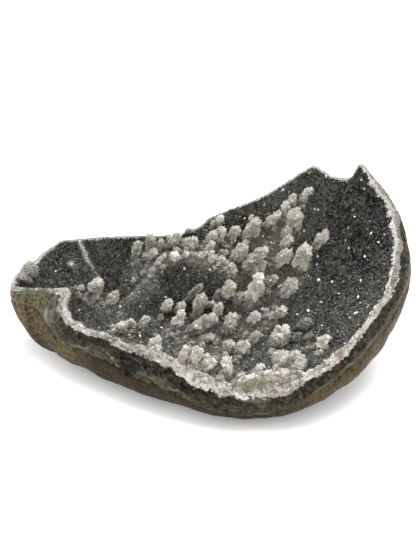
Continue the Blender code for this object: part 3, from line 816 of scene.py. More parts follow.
FACE_STEPS = 13  # rings of points across the basalt's ground face
CHIP = np.array([-71.0, -48.5, 35.0])  # the middle of the chip in the front left edge
CHIP_SIZE = 9.0
CHIP_DEPTH = 3.6
EDGE_DROP = 1.1  # how far the ground face's outer edge is rounded off
ROCK_DEPTH = 6.4  # from the lining down to the rock that carries the crust
ROCK_INSIDE = (0.12, 0.35, 0.6, 0.8, 0.93)  # rings of the hidden rock under the crust
ABOVE = (0.0, 0.0, 190.0)  # a point over the hollow that the stone's inside is moved away from
LENS_AT = (-130.0, -5.0)  # the middle of the pale lens in the ground face at the left
CRACK_AT = (-76.5, -46.5)  # a point of the crack beside the chip
CRACK_SLANT = 1.08
STREAK_STRETCH = 6.0  # how much longer the streaks are than wide
FACE_WIDE, RIND_DEEP = 0.014, 0.11  # metres across the ground face and down the rind, about
RIND_CROWDING = 1.25  # how much closer the rind's rings are near the rim


def lining_ring(rho, depth):
    """A ring of the rim's stations on the lining, moved back into the stone."""
    radius, z = radius_at(rho, EDGE_R, EVEN_R), wall_z(rho, EDGE_Z, EVEN_Z)
    ring = np.stack([radius * np.cos(BEARING), radius * np.sin(BEARING), z], axis=-1)
    return ring + depth * unit(ring - np.array(ABOVE))


def chip_depth(points):
    """How deep the chip in the ground face's edge is at each point."""
    away = np.linalg.norm(points - CHIP, axis=1) / CHIP_SIZE + 0.25 * noise(points, 3.0, 55)
    return CHIP_DEPTH * (1.0 - ease(away, 0.35, 1.1))


def rock_rings(sizes):
    """The rock's rings of points, from its hidden inside over the ground face and down the rind to the flat.

    Each comes with its share of the way across the face and of the way down the rind.
    """
    share, normal = band_share()[:, None], face_normal()
    rows = [(lining_ring(rho, ROCK_DEPTH), 0.0, 0.0) for rho in ROCK_INSIDE]
    for t in np.arange(FACE_STEPS) / (FACE_STEPS - 1):
        ring = across(across(INNER, OUTER, share), OUTER, t)
        x, y = ring[:, 0], ring[:, 1]
        broken = ease(-x, -30.0, 0.0) * ease(x, -120.0, -108.0) * ease(-y, -10.0, 10.0)
        relief = (0.35 + 0.75 * broken) * rough(ring, 5.0, 3, 21)
        relief -= (0.5 + 1.1 * broken) * ease(domes(ring, 3.4, 5), 0.7, 1.0) * ease(t, 0.0, 0.2)
        relief += -EDGE_DROP * ease(t, 0.72, 1.0) ** 2 - chip_depth(ring)
        rows.append((ring + relief[:, None] * normal, t, 0.0))
    for t in (np.arange(1, sizes.fall_steps + 1) / sizes.fall_steps) ** RIND_CROWDING:
        ring = skin_ring(t)
        below, above = skin_ring(min(t + SLIGHTLY, 1.0)), skin_ring(max(t - SLIGHTLY, 0.0))
        sideways = np.roll(ring, -1, axis=0) - np.roll(ring, 1, axis=0)
        out = unit(np.cross(below - above, sideways))
        settled = ease(t, 0.0, 0.04) * ease(1.0 - t, 0.0, 0.12)
        swell = 0.8 * rough(ring, 26.0, 3, 31) + 0.2 * rough(ring, 2.5, 2, 41) + 0.35 * noise(ring, 9.0, 51)
        pits = sizes.pit_depth / MM * ease(domes(ring, 6.5, 6), 0.86, 1.0) * (noise(ring, 15.0, 8) > 0.0)
        edge = EDGE_DROP * (1.0 - ease(t, 0.0, 0.05)) + chip_depth(ring) * (1.0 - ease(t, 0.02, 0.16))
        ring = ring + (settled * (swell - pits))[:, None] * out - edge[:, None] * normal
        ring[:, 2] = np.maximum(ring[:, 2], 0.0)
        rows.append((ring, 1.0, t))
    rows[-1][0][:, 2] = 0.0
    return zip(*rows)


def rock_marks(points, reach, fall):
    """Where the rock's finishes show, by name, as a share or a place for each point."""
    x, y = points[:, 0], points[:, 1]
    border = np.hypot(x - LENS_AT[0], 1.3 * (y - LENS_AT[1])) + 2.0 * noise(points, 5.0, 63) - 7.0
    lens = 0.65 * ease(-border, -1.5, 1.5) * ease(noise(points, 3.0, 70), -0.6, 0.4)
    outline = 0.4 * ease(-x, 130.0, 135.0) * np.exp(-((border / 0.7) ** 2))
    outline *= ease(noise(points, 6.0, 64), -0.6, 0.2) * (reach < 0.95)
    crack = np.exp(-((np.abs(x - CRACK_AT[0] + CRACK_SLANT * (y - CRACK_AT[1])) / 1.47 / 0.5) ** 2))
    crack *= between(x, -91.0, -89.0, -77.0, -75.0) * (y < -30.0) * ease(noise(points, 3.0, 56), -0.5, 0.2)
    low = between(x, -4.0, 8.0, 52.0, 66.0) * ease(-y, 48.0, 58.0)
    streak = np.abs(y + 71.0 - 0.2 * (x - 36.0)) + 1.5 * noise(points, 3.0, 66)
    green = across(0.7, 0.25, ease(x, -95.0, -70.0)) + 0.3 * between(x, -60.0, -45.0, -20.0, -5.0)
    green += 0.45 * ease(x, 60.0, 95.0)
    # painted shade on the rind: most at the front, less towards the right, none at the far left
    painted_rind_shade = across(1.0, 0.5, ease(x, 30.0, 80.0)) * across(0.5, 1.0, ease(-y, -20.0, 20.0))
    rime = 0.8 * ease(noise(points, 8.0, 69), -0.5, 0.3) * ease(60.0 - y, 0.0, 20.0)
    strip = across(0.05, 0.6, ease(noise(points, 12.0, 73), -0.2, 0.4)) * (1.0 - ease(-x, 118.0, 130.0))
    crackle = across(0.15, 1.0, ease(-x, 85.0, 120.0))
    # a place along the rim and across it, for streaks that run along it
    along = np.append(np.tile(ALONG, len(points) // COUNT), [0.0, 0.0])
    down = FACE_WIDE * reach + RIND_DEEP * fall
    sheet = np.stack([along * MM / STREAK_STRETCH, down, np.zeros(len(points))], axis=-1)
    return {
        "across": reach,
        "fall": fall,
        "sheet": sheet,
        "lens": lens,
        "outline": np.maximum(outline, 0.35 * crack),
        "ochre": 0.95 * ease(-x, 124.0, 140.0),
        "chalcedony": 0.5 * low * ease(0.35 - reach - 0.15 * noise(points, 5.0, 65), 0.0, 0.2),
        "stain": 0.45 * ease(1.8 - streak, 0.0, 1.5) * between(x, 24.0, 30.0, 46.0, 54.0),
        "sugar": ease(noise(points, 7.0, 68), -0.1, 0.35),
        "green": green * across(0.45, 1.0, ease(noise(points, 14.0, 67), -0.3, 0.4)),
        "brown": across(0.9, 0.6, between(x, -30.0, 0.0, 20.0, 40.0)),
        "painted_rind_shade": 0.85 * ease(x, -128.0, -95.0) * painted_rind_shade,
        "rime": np.maximum(rime, spot(x, y, -120.0, -4.0, 9.0, 8.0)),
        "strip": strip * (1.0 - 0.9 * between(x, -20.0, 0.0, 50.0, 70.0)),
        "chip": 0.95 * ease(chip_depth(points) / CHIP_DEPTH, 0.0, 0.6),
        "crackle": crackle,
        "streaky": 1.0 - 0.7 * crackle,
    }


def make_rock(sizes, colours):
    """The basalt: its ground face outside the white quartz, its rind and its hidden inside."""
    rings, reach, fall = rock_rings(sizes)
    points = np.concatenate([*rings, [[0.0, 0.0, FLOOR_Z - ROCK_DEPTH]], [[0.0, 0.0, 0.0]]])
    reach, fall = (np.append(np.repeat(shares, COUNT), [0.0, 1.0]) for shares in (reach, fall))
    last = (len(rings) - 1) * COUNT
    faces = [fan_faces(last + COUNT, 0, COUNT)]
    faces += [ring_faces(start, start + COUNT, COUNT) for start in range(0, last, COUNT)]
    faces.append(fan_faces(last + COUNT + 1, last, COUNT, outwards=False))
    faces = np.concatenate(faces)
    on_rind = fall[faces].mean(axis=1) > 1e-6
    materials, marks = [ground_basalt(colours), weathered_rind(colours)], rock_marks(points, reach, fall)
    piece = new_piece("rock_shell_surface", points, faces, materials, marks, on_rind)
    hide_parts("rock_shell")


BAND_STEPS = 13  # rows of crystals across the white band
BAND_UNDER = 2.5  # the band's thickness
BAND_SPILL = 2.0  # how far it spills over the hollow's edge at most
BAND_LUMPS = 3.8  # width of its packed lumps
BAND_SINK, BAND_LEAN = 0.25, 0.35  # its crystals are blunter than the druse's, having been ground
FACET = 12.0  # width of the banded facet inside the front rim
FACET_LIFT = 4.5  # how far its inner edge stands over the hollow's lining


def facet_lift(wide):
    """How far the facet's inner edge is lifted, round the rim."""
    return (FACET_LIFT * ease(wide, 0.0, 0.3))[:, None] * [0.0, 0.0, 1.0]


def facet_edge(wide):
    """The facet's inner edge, on the lining, round the rim."""
    inwards = unit((INNER - OUTER) * [1.0, 1.0, 0.0])
    x, y, _ = (INNER + (FACET * wide)[:, None] * inwards).T
    return lining(rim_share(x, y), np.arctan2(y, x)) + facet_lift(wide)


def band_rows(sizes, wide, dice):
    """The band's rows of crystal sites, from the hollow's edge or the facet's to the band's outer border."""
    x, y = INNER[:, 0], INNER[:, 1]
    share, normal = band_share()[:, None], face_normal()
    steep = ease(x, 100.0, 118.0) * ease(y, -25.0, 0.0)
    steep = np.maximum(steep, spot(x, y, -119.0, -3.0, 9.0, 9.0))
    front = facing(x, y) * (1.0 - 0.8 * ease(-x, 120.0, 134.0)) * (1.0 - 0.75 * steep)
    tongues = ease(noise(INNER, 4.6, 74) + 0.5 * noise(INNER, 9.0, 75), -0.6, 0.9)
    reach = front * (1.0 - steep) * BAND_SPILL * tongues
    spill = reach[:, None] * unit(INNER - OUTER) + 0.45 * front[:, None] * normal
    spill *= (1.0 - ease(wide, 0.0, 0.2))[:, None]
    edge, turn = facet_edge(wide), 0.5 * ease(wide, 0.0, 0.3)[:, None]
    rows = []
    for k in range(BAND_STEPS):
        t = k / (BAND_STEPS - 1)
        outside = np.clip((t - turn) / (1.0 - turn), 0.0, 1.0)
        inside = np.clip(1.0 - t / np.maximum(turn, 1e-6), 0.0, 1.0)
        ring = across(INNER, OUTER, share * outside) + (1.0 - ease(t, 0.0, 0.5)) * spill
        ring = ring + inside * (edge - INNER) * (wide > 0.0)[:, None]
        if k % 2:
            ring = 0.5 * (ring + np.roll(ring, -1, axis=0))
        jitter = 0.3 * dice.normal(size=(COUNT, 3)) * (0.0 < t < 1.0)
        dome, block = packed(ring, BAND_LUMPS, 71)
        lumps = 1.1 * dome + 0.7 * block - 0.9 + 0.4 * noise(ring, 9.0, 72) + 0.5 * domes(ring, 1.9, 73)
        height = sizes.band_relief / MM * (0.2 + 0.8 * front) * lumps * ease(1.0 - t, 0.0, 0.25)
        height *= across(1.0, ease(t, 0.0, 0.35), steep)
        rows.append(ring + jitter + height[:, None] * normal)
    return rows


def row_triangles(rows):
    """Triangles between rows of sites, of which every other one is half a step along."""
    k = np.arange(COUNT)
    after = (k + 1) % COUNT
    triangles = []
    for row in range(rows - 1):
        low, high = row * COUNT, (row + 1) * COUNT
        if row % 2 == 0:
            triangles.append(np.stack([low + k, high + k, low + after], axis=1))
            triangles.append(np.stack([low + after, high + k, high + after], axis=1))
        else:
            triangles.append(np.stack([low + k, high + k, high + after], axis=1))
            triangles.append(np.stack([low + k, high + after, low + after], axis=1))
    return np.concatenate(triangles)


def band_marks(sites, wide, owner, dice):
    """Tone, stain and chalcedony of the band's crystals, by name, for each face."""
    x, y = sites[:, 0], sites[:, 1]
    depth = np.repeat(np.arange(BAND_STEPS) / (BAND_STEPS - 1), COUNT)
    facet = np.tile(ease(wide, 0.1, 0.5), BAND_STEPS)
    tone = across(-0.4, 0.78, facing(x, y)) + 0.4 * noise(sites, 5.0, 81)
    tone += 0.26 * dice.normal(size=len(sites)) - 0.35 * facet * ease(depth, 0.2, 0.3)
    # painted shade: the first term makes the band darker in the crevices between its lumps and lighter on their
    # tops
    tone += 0.8 * (domes(sites, BAND_LUMPS, 71) - 0.75) - 0.5 * ease(x, 95.0, 110.0) * ease(y, -30.0, -5.0)
    tone = np.clip(tone, 0.0, 1.0) - 0.5 * ease(depth, 0.25, 0.6) * ease(x, 98.0, 108.0) * ease(y, 5.0, 30.0)
    tone -= 0.3 * ease(-x, 20.0, 50.0) * ease(-y, -5.0, 5.0) * (0.5 + noise(sites, 6.0, 84))
    banded = facet * ease(depth + 0.08 * noise(sites, 4.0, 82), 0.16, 0.24)
    banded *= 1.0 - 0.9 * ease(depth + 0.25 * noise(sites, 5.0, 85) + 0.3 * ease(x, 34.0, 60.0), 0.7, 0.9)
    layers = noise(np.stack([x / 9.0, 8.0 * depth, 0.0 * x], axis=1), 1.0, 86)
    stain = 0.7 * ease(noise(sites, 4.0, 83), 0.35, 0.7) * ease(-y, 20.0, 40.0)
    streak = np.exp(-(((depth - 0.5 - 0.006 * (x - 40.0)) / 0.05) ** 2)) * between(x, 30.0, 35.0, 45.0, 50.0)
    marks = {
        "tone": np.clip(tone, 0.0, 1.0),
        "stain": np.maximum(stain * (1.0 - banded), 0.75 * banded * streak),
        "chalcedony": banded * across(0.6, 1.0, ease(layers, -0.4, 0.4)),
    }
    return {name: values[owner] for name, values in marks.items()}


def make_band(sizes, colours):
    """The white quartz band: rows of small crystals across the ground face, on a closed strip of quartz."""
    dice = np.random.default_rng(11)
    wide, normal = facet_share(INNER[:, 0], INNER[:, 1]), face_normal()
    rows = band_rows(sizes, wide, dice)
    sites, normals = np.concatenate(rows), np.tile(normal, (BAND_STEPS, 1))
    rise = dice.uniform(0.1, 0.55, len(sites))
    rise[:COUNT] = rise[-COUNT:] = 0.0
    triangles = row_triangles(BAND_STEPS)
    points, faces, owner = crystals(sites, normals, triangles, rise, BAND_SINK, BAND_LEAN, dice)
    back = 0.8 * BAND_UNDER * (unit(OUTER - INNER) - normal)
    outer, inner = len(points), len(points) + COUNT
    points = np.concatenate([points, rows[-1] - BAND_UNDER * normal, rows[0] + back - facet_lift(wide)])
    walls = [((BAND_STEPS - 1) * COUNT, outer), (outer, inner), (inner, 0)]
    faces = np.concatenate([faces, *(ring_faces(first, second, COUNT) for first, second in walls)])
    owner = np.concatenate([owner, np.zeros(len(faces) - len(owner), int)])
    marks = band_marks(sites, wide, owner, dice)
    piece = new_piece("white_quartz_band", points, faces, [milky_quartz(colours)], marks)
    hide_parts("crystal_crust")


def arc_table(bearings=360, shares=160):
    """The distance along the lining from the middle outwards, for a table of bearings and shares."""
    rho = np.linspace(MIDDLE, 1.0, shares)
    turn = np.linspace(-math.pi, math.pi, bearings + 1)
    grid = lining(*(part.ravel() for part in np.meshgrid(rho, turn)))
    grid = grid.reshape(len(turn), shares, 3)
    steps = np.linalg.norm(np.diff(grid, axis=1), axis=2)
    return np.concatenate([np.zeros((len(turn), 1)), np.cumsum(steps, axis=1)], axis=1)


ARCS = arc_table()


def arc(rho, bearing):
    """The distance along the lining from the middle to a point of it."""
    turns, shares = ARCS.shape
    row = (np.mod(bearing + math.pi, TURN) / TURN) * (turns - 1)
    column = np.clip(rho, 0.0, 1.0) * (shares - 1)
    r, c = np.minimum(row.astype(int), turns - 2), np.minimum(column.astype(int), shares - 2)
    a, b = row - r, column - c
    near = ARCS[r, c] * (1 - a) * (1 - b) + ARCS[r + 1, c] * a * (1 - b)
    return near + ARCS[r, c + 1] * (1 - a) * b + ARCS[r + 1, c + 1] * a * b


CANDIDATES = 1000000  # points tried for the druse
STEEPEST = 99.5  # percentile of the area round a point that is taken for the largest


def scatter(spacing, dice):
    """Shares and bearings of points at least spacing apart on the lining, clear of the rim's own points."""
    rho, bearing = np.sqrt(dice.uniform(0.0, 1.0, CANDIDATES)), dice.uniform(-math.pi, math.pi, CANDIDATES)
    area = np.linalg.norm(lining_cross(rho, bearing), axis=1) / rho
    kept = dice.uniform(0.0, np.percentile(area, STEEPEST), CANDIDATES) < area
    rho, bearing = rho[kept], bearing[kept]
    places = lining(rho, bearing)
    cells = np.floor(places / spacing).astype(int).tolist()
    near = list(itertools.product((-1, 0, 1), repeat=3))
    taken = {}
    for point in INNER.tolist():
        taken.setdefault(tuple(math.floor(c / spacing) for c in point), []).append(point)
    chosen = []
    for index, (point, (i, j, k)) in enumerate(zip(places.tolist(), cells)):
        around = (taken.get((i + a, j + b, k + c), ()) for a, b, c in near)
        if all(math.dist(point, other) >= spacing for group in around for other in group):
            taken.setdefault((i, j, k), []).append(point)
            chosen.append(index)
    return rho[chosen], bearing[chosen]


DRUSE_DEPTH = 4.0  # the dark crust's thickness
DRUSE_RISE = 1.15  # height of its highest crystals
POINT_SINK = 0.45  # depth of the valleys between crystals for their distance
POINT_LEAN = 0.5  # how far the crystals lean, at random
DRUSE_INSIDE = (0.95, 0.8, 0.6, 0.35, 0.12)  # rings of its hidden underside


def ridge_front(x, y):
    """How much of the ridge's bare dark front a place is, from 0 to 1."""
    behind = crest_y(x) - 3.0
    share = ease(y, 12.0, 22.0) * ease(behind - y, 0.0, 5.0)
    return share * ease(x, -56.0, -42.0) * ease(-x, -20.0, 0.0)


def along_crest(x, y):
    """How near a place is to the ridge's crest and its left shoulder, from 0 to 1, less so in front of it."""
    away = y - crest_y(x)
    reach = np.where(away > 0.0, 2.5, across(10.0, 5.0, ease(x, -62.0, -44.0)))
    return np.exp(-((away / reach) ** 2)) * ease(x, -98.0, -86.0) * ease(-x, -30.0, -14.0)


def combs(points):
    """The combs of small crystals below the fingers, and how densely fingers stand there, from 0 to 1."""
    near, bare = np.zeros(len(points)), np.ones(len(points))
    for x, y, tall, width, _ in PALE:
        ends = np.array([(x, y), tail(x, y, tall)], float)
        start, end = lining(rim_share(*ends.T), np.arctan2(ends[:, 1], ends[:, 0]))
        along = end - start
        share = np.clip((points - start) @ along / (along @ along), 0.0, 1.0)
        away = np.linalg.norm(points - start - share[:, None] * along, axis=1)
        near = np.maximum(near, np.exp(-((away / (0.35 * width + 2.0)) ** 2)) * (1.0 - 0.5 * share))
        bare *= 1.0 - 0.5 * np.exp(-((away / (0.6 * width + 4.0)) ** 2))
    shown = 1.0 - 0.9 * ridge_front(points[:, 0], points[:, 1])
    crest = along_crest(points[:, 0], points[:, 1])
    return np.maximum(near * shown, 0.9 * crest), np.maximum(ease(1.0 - bare, 0.25, 0.9) * shown, 0.6 * crest)


def form(points, normals, sizes, rho, comb, field):
    """The lumps that the druse has grown over, fading out at the rim."""
    size = sizes.druse_lumps / MM
    height = 0.8 * domes(points, size, 91) + 0.7 * rough(points, 0.55 * size, 2, 92)
    height += 0.8 * domes(points, 3.0, 95) - 0.9
    height += comb * (0.4 + 1.5 * domes(points, 3.4, 93)) + field * (2.2 * domes(points, 5.0, 94) - 0.6)
    return points + (height * ease(1.0 - rho, 0.0, 0.05))[:, None] * normals


def inside_triangles(flat):
    """Triangles of the flat points inside the border, which is the first COUNT of them in one sweep."""
    border = [(k, (k + 1) % COUNT) for k in range(COUNT)]
    result = geometry.delaunay_2d_cdt([Vector(p) for p in flat.tolist()], border, [], 1, 1e-6, True)
    if not all(result[3]):
        raise RuntimeError("the druse's border crosses itself")
    triangles = np.array([origin[0] for origin in result[3]])[np.array(result[2])]
    middle = flat[triangles].mean(axis=1)
    turned = np.mod(np.arctan2(middle[:, 1], middle[:, 0]) - BEARING[0], TURN) + BEARING[0]
    sector = np.searchsorted(BEARING, turned, side="right") - 1
    near, far = flat[sector], flat[(sector + 1) % COUNT]
    side = (far[:, 0] - near[:, 0]) * (middle[:, 1] - near[:, 1])
    return triangles[side > (far[:, 1] - near[:, 1]) * (middle[:, 0] - near[:, 0])]


def make_druse(sizes, colours):
    """The dark druse: a tip for each scattered point, triangulated on the lining rolled out flat."""
    dice = np.random.default_rng(5)
    rho, bearing = scatter(sizes.druse_grain / MM, dice)
    rho, bearing = np.concatenate([np.ones(COUNT), rho]), np.concatenate([BEARING, bearing])
    distance = arc(rho, bearing)
    flat = np.stack([distance * np.cos(bearing), distance * np.sin(bearing)], axis=1)
    triangles = inside_triangles(flat)
    places = lining(rho, bearing)
    normals = unit(lining_cross(rho, bearing))
    comb, field = combs(places)
    sites = form(places, normals, sizes, rho, comb, field)
    rise = dice.uniform(0.1, 1.0, len(sites)) ** 1.5 * (DRUSE_RISE + 0.1 * comb)
    rise[:COUNT] = 0.0
    points, faces, owner = crystals(sites, normals, triangles, rise, POINT_SINK, POINT_LEAN, dice)
    rings = [lining_ring(share, DRUSE_DEPTH) for share in DRUSE_INSIDE]
    starts = [0, *range(len(points), len(points) + len(rings) * COUNT, COUNT)]
    points = np.concatenate([points, *rings, [[0.0, 0.0, FLOOR_Z - DRUSE_DEPTH]]])
    under = [ring_faces(first, second, COUNT) for first, second in zip(starts, starts[1:])]
    under.append(fan_faces(len(points) - 1, starts[-1], COUNT, outwards=False))
    faces = np.concatenate([faces, *under])
    owner = np.concatenate([owner, np.zeros(len(faces) - len(owner), int)])
    marks = druse_marks(sites, arc(np.ones(len(sites)), bearing) - distance, comb, field, dice)
    marks = {name: values[owner] for name, values in marks.items()}
    piece = new_piece("dark_druse", points, faces, [smoky_druse(colours)], marks)
    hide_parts("crystal_crust")


GLINTS = 0.022  # share of the crystals painted bright as glints, a painted highlight
SPARKS = ("#ffffff", "#f8f8ff", "#ffffff", "#fffaf0", "#eceeff", "#fff0d4")  # their colours
# The thin pale vein down the back left of the hollow, from below, and the milky patch beside it.
VEIN_Y = (43.0, 48.0, 53.0, 55.0, 60.0, 63.0, 67.0)
VEIN_X = (-99.0, -102.0, -106.0, -110.0, -114.0, -117.0, -120.0)
PATCH = (-122.6, 51.5)


def druse_marks(sites, to_rim, comb, field, dice):
    """Tone, frost, pale, glint, olive, deep and spark of each crystal, by name. The glints are a painted
    highlight, deep is painted shade in the near-black zone beside the right band, and the olive mark is partly
    painted shade on the ridge's front.
    """
    count = len(sites)
    x, y = sites[:, 0], sites[:, 1]
    crest, front_of_crest = along_crest(x, y), y < crest_y(x)
    # how light each part of the hollow is
    slope = between(x, 20.0, 45.0, 65.0, 92.0) * ease(y, -5.0, 15.0)
    slope = np.maximum(slope, between(x, -40.0, -15.0, 50.0, 75.0) * ease(-y, -5.0, 15.0))
    floor_left = ease(-y, -20.0, -4.0) * ease(-x, 20.0, 50.0)
    floor_middle = between(x, -70.0, -50.0, 60.0, 90.0) * ease(-y, -22.0, -8.0)
    far = ease(y, 22.0, 40.0) * ease(-x, 40.0, 60.0) * (1.0 - crest)
    # painted shade: the near-black zone beside the right band, which is also made darker in tone below
    deep = ease(x, 85.0, 108.0) * ease(y, -8.0, 20.0) * ease(noise(sites, 9.0, 109), -0.8, 0.1)
    # painted shade: the valley behind the ridge's left part
    behind = ease(y, 34.0, 44.0) * ease(-x, 58.0, 70.0) * ease(100.0 + x, 0.0, 12.0)
    spread = (0.1 + 0.08 * ease(x, -60.0, 0.0) + 0.12 * floor_left) * (1.0 - 0.4 * far)
    tone = 0.3 + 0.12 * floor_left + 0.04 * floor_middle + 0.42 * field + 0.24 * slope
    tone += 0.2 * rough(sites, 24.0, 3, 101) + 0.24 * noise(sites, 3.4, 102)
    tone += spread * dice.normal(size=count)
    tone += np.where(dice.uniform(size=count) < 0.14, 0.35, 0.0) * (1.0 - 0.8 * deep)
    tone -= 0.5 * deep + 0.16 * ease(x, 55.0, 85.0) + 0.1 * ease(-x, 55.0, 75.0) * ease(-y, 0.0, 15.0)
    # painted light on the front of the ridge's crest and its shoulder, and painted shade in the valley behind
    # the ridge
    tone += 0.32 * crest * front_of_crest - 0.15 * behind
    tone += 0.45 * comb * (0.7 + 0.3 * noise(sites, 3.0, 105))
    # pale crystals between the fingers and along the crest
    lumps = ease(domes(sites, 5.0, 94) + 0.4 * noise(sites, 2.5, 107), 0.1, 0.8)
    line = np.exp(-(((y - crest_y(x) + 1.0) / 3.5) ** 2)) * between(x, -88.0, -60.0, 18.0, 30.0)
    back = ease(y, 30.0, 50.0) * between(x, -30.0, -10.0, 40.0, 60.0)
    chance = np.maximum((0.75 + 0.2 * back) * field * (0.3 + 0.7 * lumps), 0.8 * line)
    pale = (dice.uniform(size=count) < chance) * dice.uniform(0.3, 0.95, count)
    # milky crystals along the rim, in the thin vein and in one patch beside it
    front = np.maximum(ease(-y, -20.0, 20.0), ease(x, 95.0, 115.0))
    front = np.maximum(front, 0.8 * ease(-x, 138.0, 152.0) * ease(-y, -62.0, -48.0))
    high = ease(x, 100.0, 118.0) * ease(y, -20.0, 5.0) * (1.0 - 0.6 * ease(y, 15.0, 45.0))
    width = 0.2 + 2.8 * front + 2.6 * high + 1.6 * ease(-x, 100.0, 125.0) * ease(y, 20.0, 40.0)
    width += 3.0 * spot(x, y, -118.0, -4.0, 9.0, 9.0)
    width += (0.8 + 2.0 * front) * (noise(sites, 6.0, 103) + noise(sites, 1.8, 104))
    half = across(0.7, 1.5, ease(y, 50.0, 58.0))
    vein = np.exp(-(((x - np.interp(y, VEIN_Y, VEIN_X)) / half) ** 2)) * (y > VEIN_Y[0]) * (y < VEIN_Y[-1])
    vein *= across(0.3, 0.95, ease(y, 50.0, 56.0)) * ease(noise(sites, 5.0, 106), -0.6, 0.1)
    frost = np.maximum(ease(width - to_rim, 0.0, 2.2) * across(0.35, 0.9, front), vein)
    # crystals painted bright as glints, a painted highlight, few of them at the back left
    few = 1.0 - 0.85 * ease(y, 22.0, 40.0) * ease(-x, 40.0, 60.0)
    glint = dice.uniform(size=count) < GLINTS * few * (1.0 - 0.4 * deep)
    glint = glint * dice.uniform(0.1, 1.0, count) ** 2.5
    olive_and_shade = 0.7 * ease(noise(sites, 12.0, 108), 0.0, 0.5) * ease(-x, -90.0, -60.0)
    return {
        "tone": np.clip(tone, 0.0, 1.0),
        "frost": np.maximum(frost, 0.8 * spot(x, y, *PATCH, 2.4, 1.6)),
        "pale": np.maximum(pale, (0.3 + 0.35 * back) * field),
        "glint": glint,
        # painted shade with an olive tint on the ridge's front, and olive patches at the left
        "olive_and_shade": np.maximum(0.8 * ridge_front(x, y), olive_and_shade),
        "deep": deep,
        "spark": np.array([linear(code) for code in SPARKS])[dice.integers(0, len(SPARKS), count)],
    }


def ball(count, dice):
    """Points spread evenly over a unit ball, nudged, with their triangles facing out."""
    k = np.arange(count) + 0.5
    height = 1.0 - 2.0 * k / count
    turn = k * math.pi * (3.0 - math.sqrt(5.0))
    side = np.sqrt(1.0 - height**2)
    points = np.stack([side * np.cos(turn), side * np.sin(turn), height], axis=1)
    points = unit(points + dice.normal(size=points.shape) * 0.55 / math.sqrt(count))
    bm = bmesh.new()
    verts = [bm.verts.new(point) for point in points]
    for number, vert in enumerate(verts):
        vert.index = number
    bmesh.ops.convex_hull(bm, input=verts)
    triangles = np.array([[vert.index for vert in face.verts] for face in bm.faces])
    bm.free()
    first, second, third = np.moveaxis(points[triangles], 1, 0)
    turned = np.einsum("ij,ij->i", np.cross(second - first, third - first), first)
    triangles[turned < 0] = triangles[turned < 0][:, ::-1]
    return points, triangles


KNOBS_PER_FINGER = 3  # tried round each pale finger's foot
KNOB_SIZES = (2.8, 5.0)
TAIL = 3.0  # how far a comb runs past half its finger's length
WARM = (-27.0, -51.0)  # the middle of a beige group of fingers
WARM_REACH = 9.0
FINGER_GLINTS = 0.035  # share of a finger's crystals painted bright as glints, a painted highlight
FINGER_SUNK = 2.5  # how far its foot stands in the druse
FINGER_WIDER = 0.88  # its body for its row's width, which has its crystals on
FINGER_LONGER = 1.08
FINGER_BEADS = 2.3  # width of the small blocks that it is built of
FINGER_ROUND = 3.2  # how square its ends are: 2 is a ball's


def finger(x, y, tall, width, lean, grain, dice):
    """One finger: its crystals' points, faces and owners, and each site's height, as a share, place and step."""
    rho, bearing = rim_share(np.array([x], float), np.array([y], float)), np.arctan2([float(y)], [float(x)])
    foot, normal = lining(rho, bearing)[0], unit(lining_cross(rho, bearing))[0]
    turned = math.radians(lean)
    axis = unit(FINGER_TILT * normal + np.array([math.sin(turned), 0.0, math.cos(turned)]))
    side = unit(np.cross(normal, axis))
    other = np.cross(axis, side)
    foot = foot - FINGER_SUNK * axis
    width, long = FINGER_WIDER * width, FINGER_LONGER * tall + FINGER_SUNK
    count = int(0.95 * math.pi * width * long / (0.866 * grain**2))
    points, triangles = ball(count, dice)
    height = points[:, 2]
    share = 0.5 * (height + 1.0)
    radial = unit(points[:, :2] + 1e-9)
    profile = (1.0 - np.abs(height) ** FINGER_ROUND) ** (1.0 / FINGER_ROUND)
    shift = dice.uniform(-500.0, 500.0, 3)
    uneven = 0.22 * noise(np.outer(share, [long / 5.0, 0.0, 0.0]) + shift, 1.0, 110)
    taper = 0.68 + 0.34 * ease(share, 0.1, 0.62) + uneven
    reach = 0.5 * width * profile * taper
    bend = 0.09 * long * dice.normal() * share**2
    start = foot + share[:, None] * long * axis + (reach * radial[:, 0] + bend)[:, None] * side
    places = start + (reach * radial[:, 1])[:, None] * other
    out = unit(radial[:, :1] * side + radial[:, 1:] * other + 0.9 * (height**5)[:, None] * axis)
    local = np.stack([reach * radial[:, 0], reach * radial[:, 1], share * long / 1.5], axis=1) + shift
    dome, block = packed(local, max(3.0, 0.45 * width), 111)
    bead, step = packed(local, FINGER_BEADS, 112)
    small = 0.5 * (bead + step) - 0.5
    height = width * (0.24 * dome + 0.3 * block - 0.27) + 1.2 * (bead - 0.5) + 1.4 * (step - 0.5)
    sites = places + np.maximum(height, -0.55 * reach - 0.2)[:, None] * out
    rise = 0.85 * dice.uniform(0.1, 1.0, count) ** 2
    return *crystals(sites, out, triangles, rise, POINT_SINK, POINT_LEAN, dice), share, sites, small


def tail(x, y, tall):
    """The end of the comb of small crystals that runs down the lining from a finger's foot."""
    reach = 0.5 * tall + TAIL
    return x - 0.55 * reach, y - 0.85 * reach


def knobs(dice):
    """Small knobs round the feet of the pale fingers, as rows like theirs with their dullness."""
    rows = []
    for x, y, tall, width, lean in PALE:
        for _ in range(KNOBS_PER_FINGER):
            end = tail(x, y, tall)
            share = dice.uniform(-0.5, 1.3)
            place = np.array([x, y]) + share * (np.array(end) - [x, y]) + 0.42 * width * dice.normal(size=2)
            if ridge_front(*place) > 0.2:
                continue
            size = dice.uniform(*KNOB_SIZES)
            row = (*place, size * dice.uniform(1.0, 1.5), size, lean + 15.0 * dice.normal())
            rows.append((row, dice.uniform(0.15, 0.75)))
    return rows


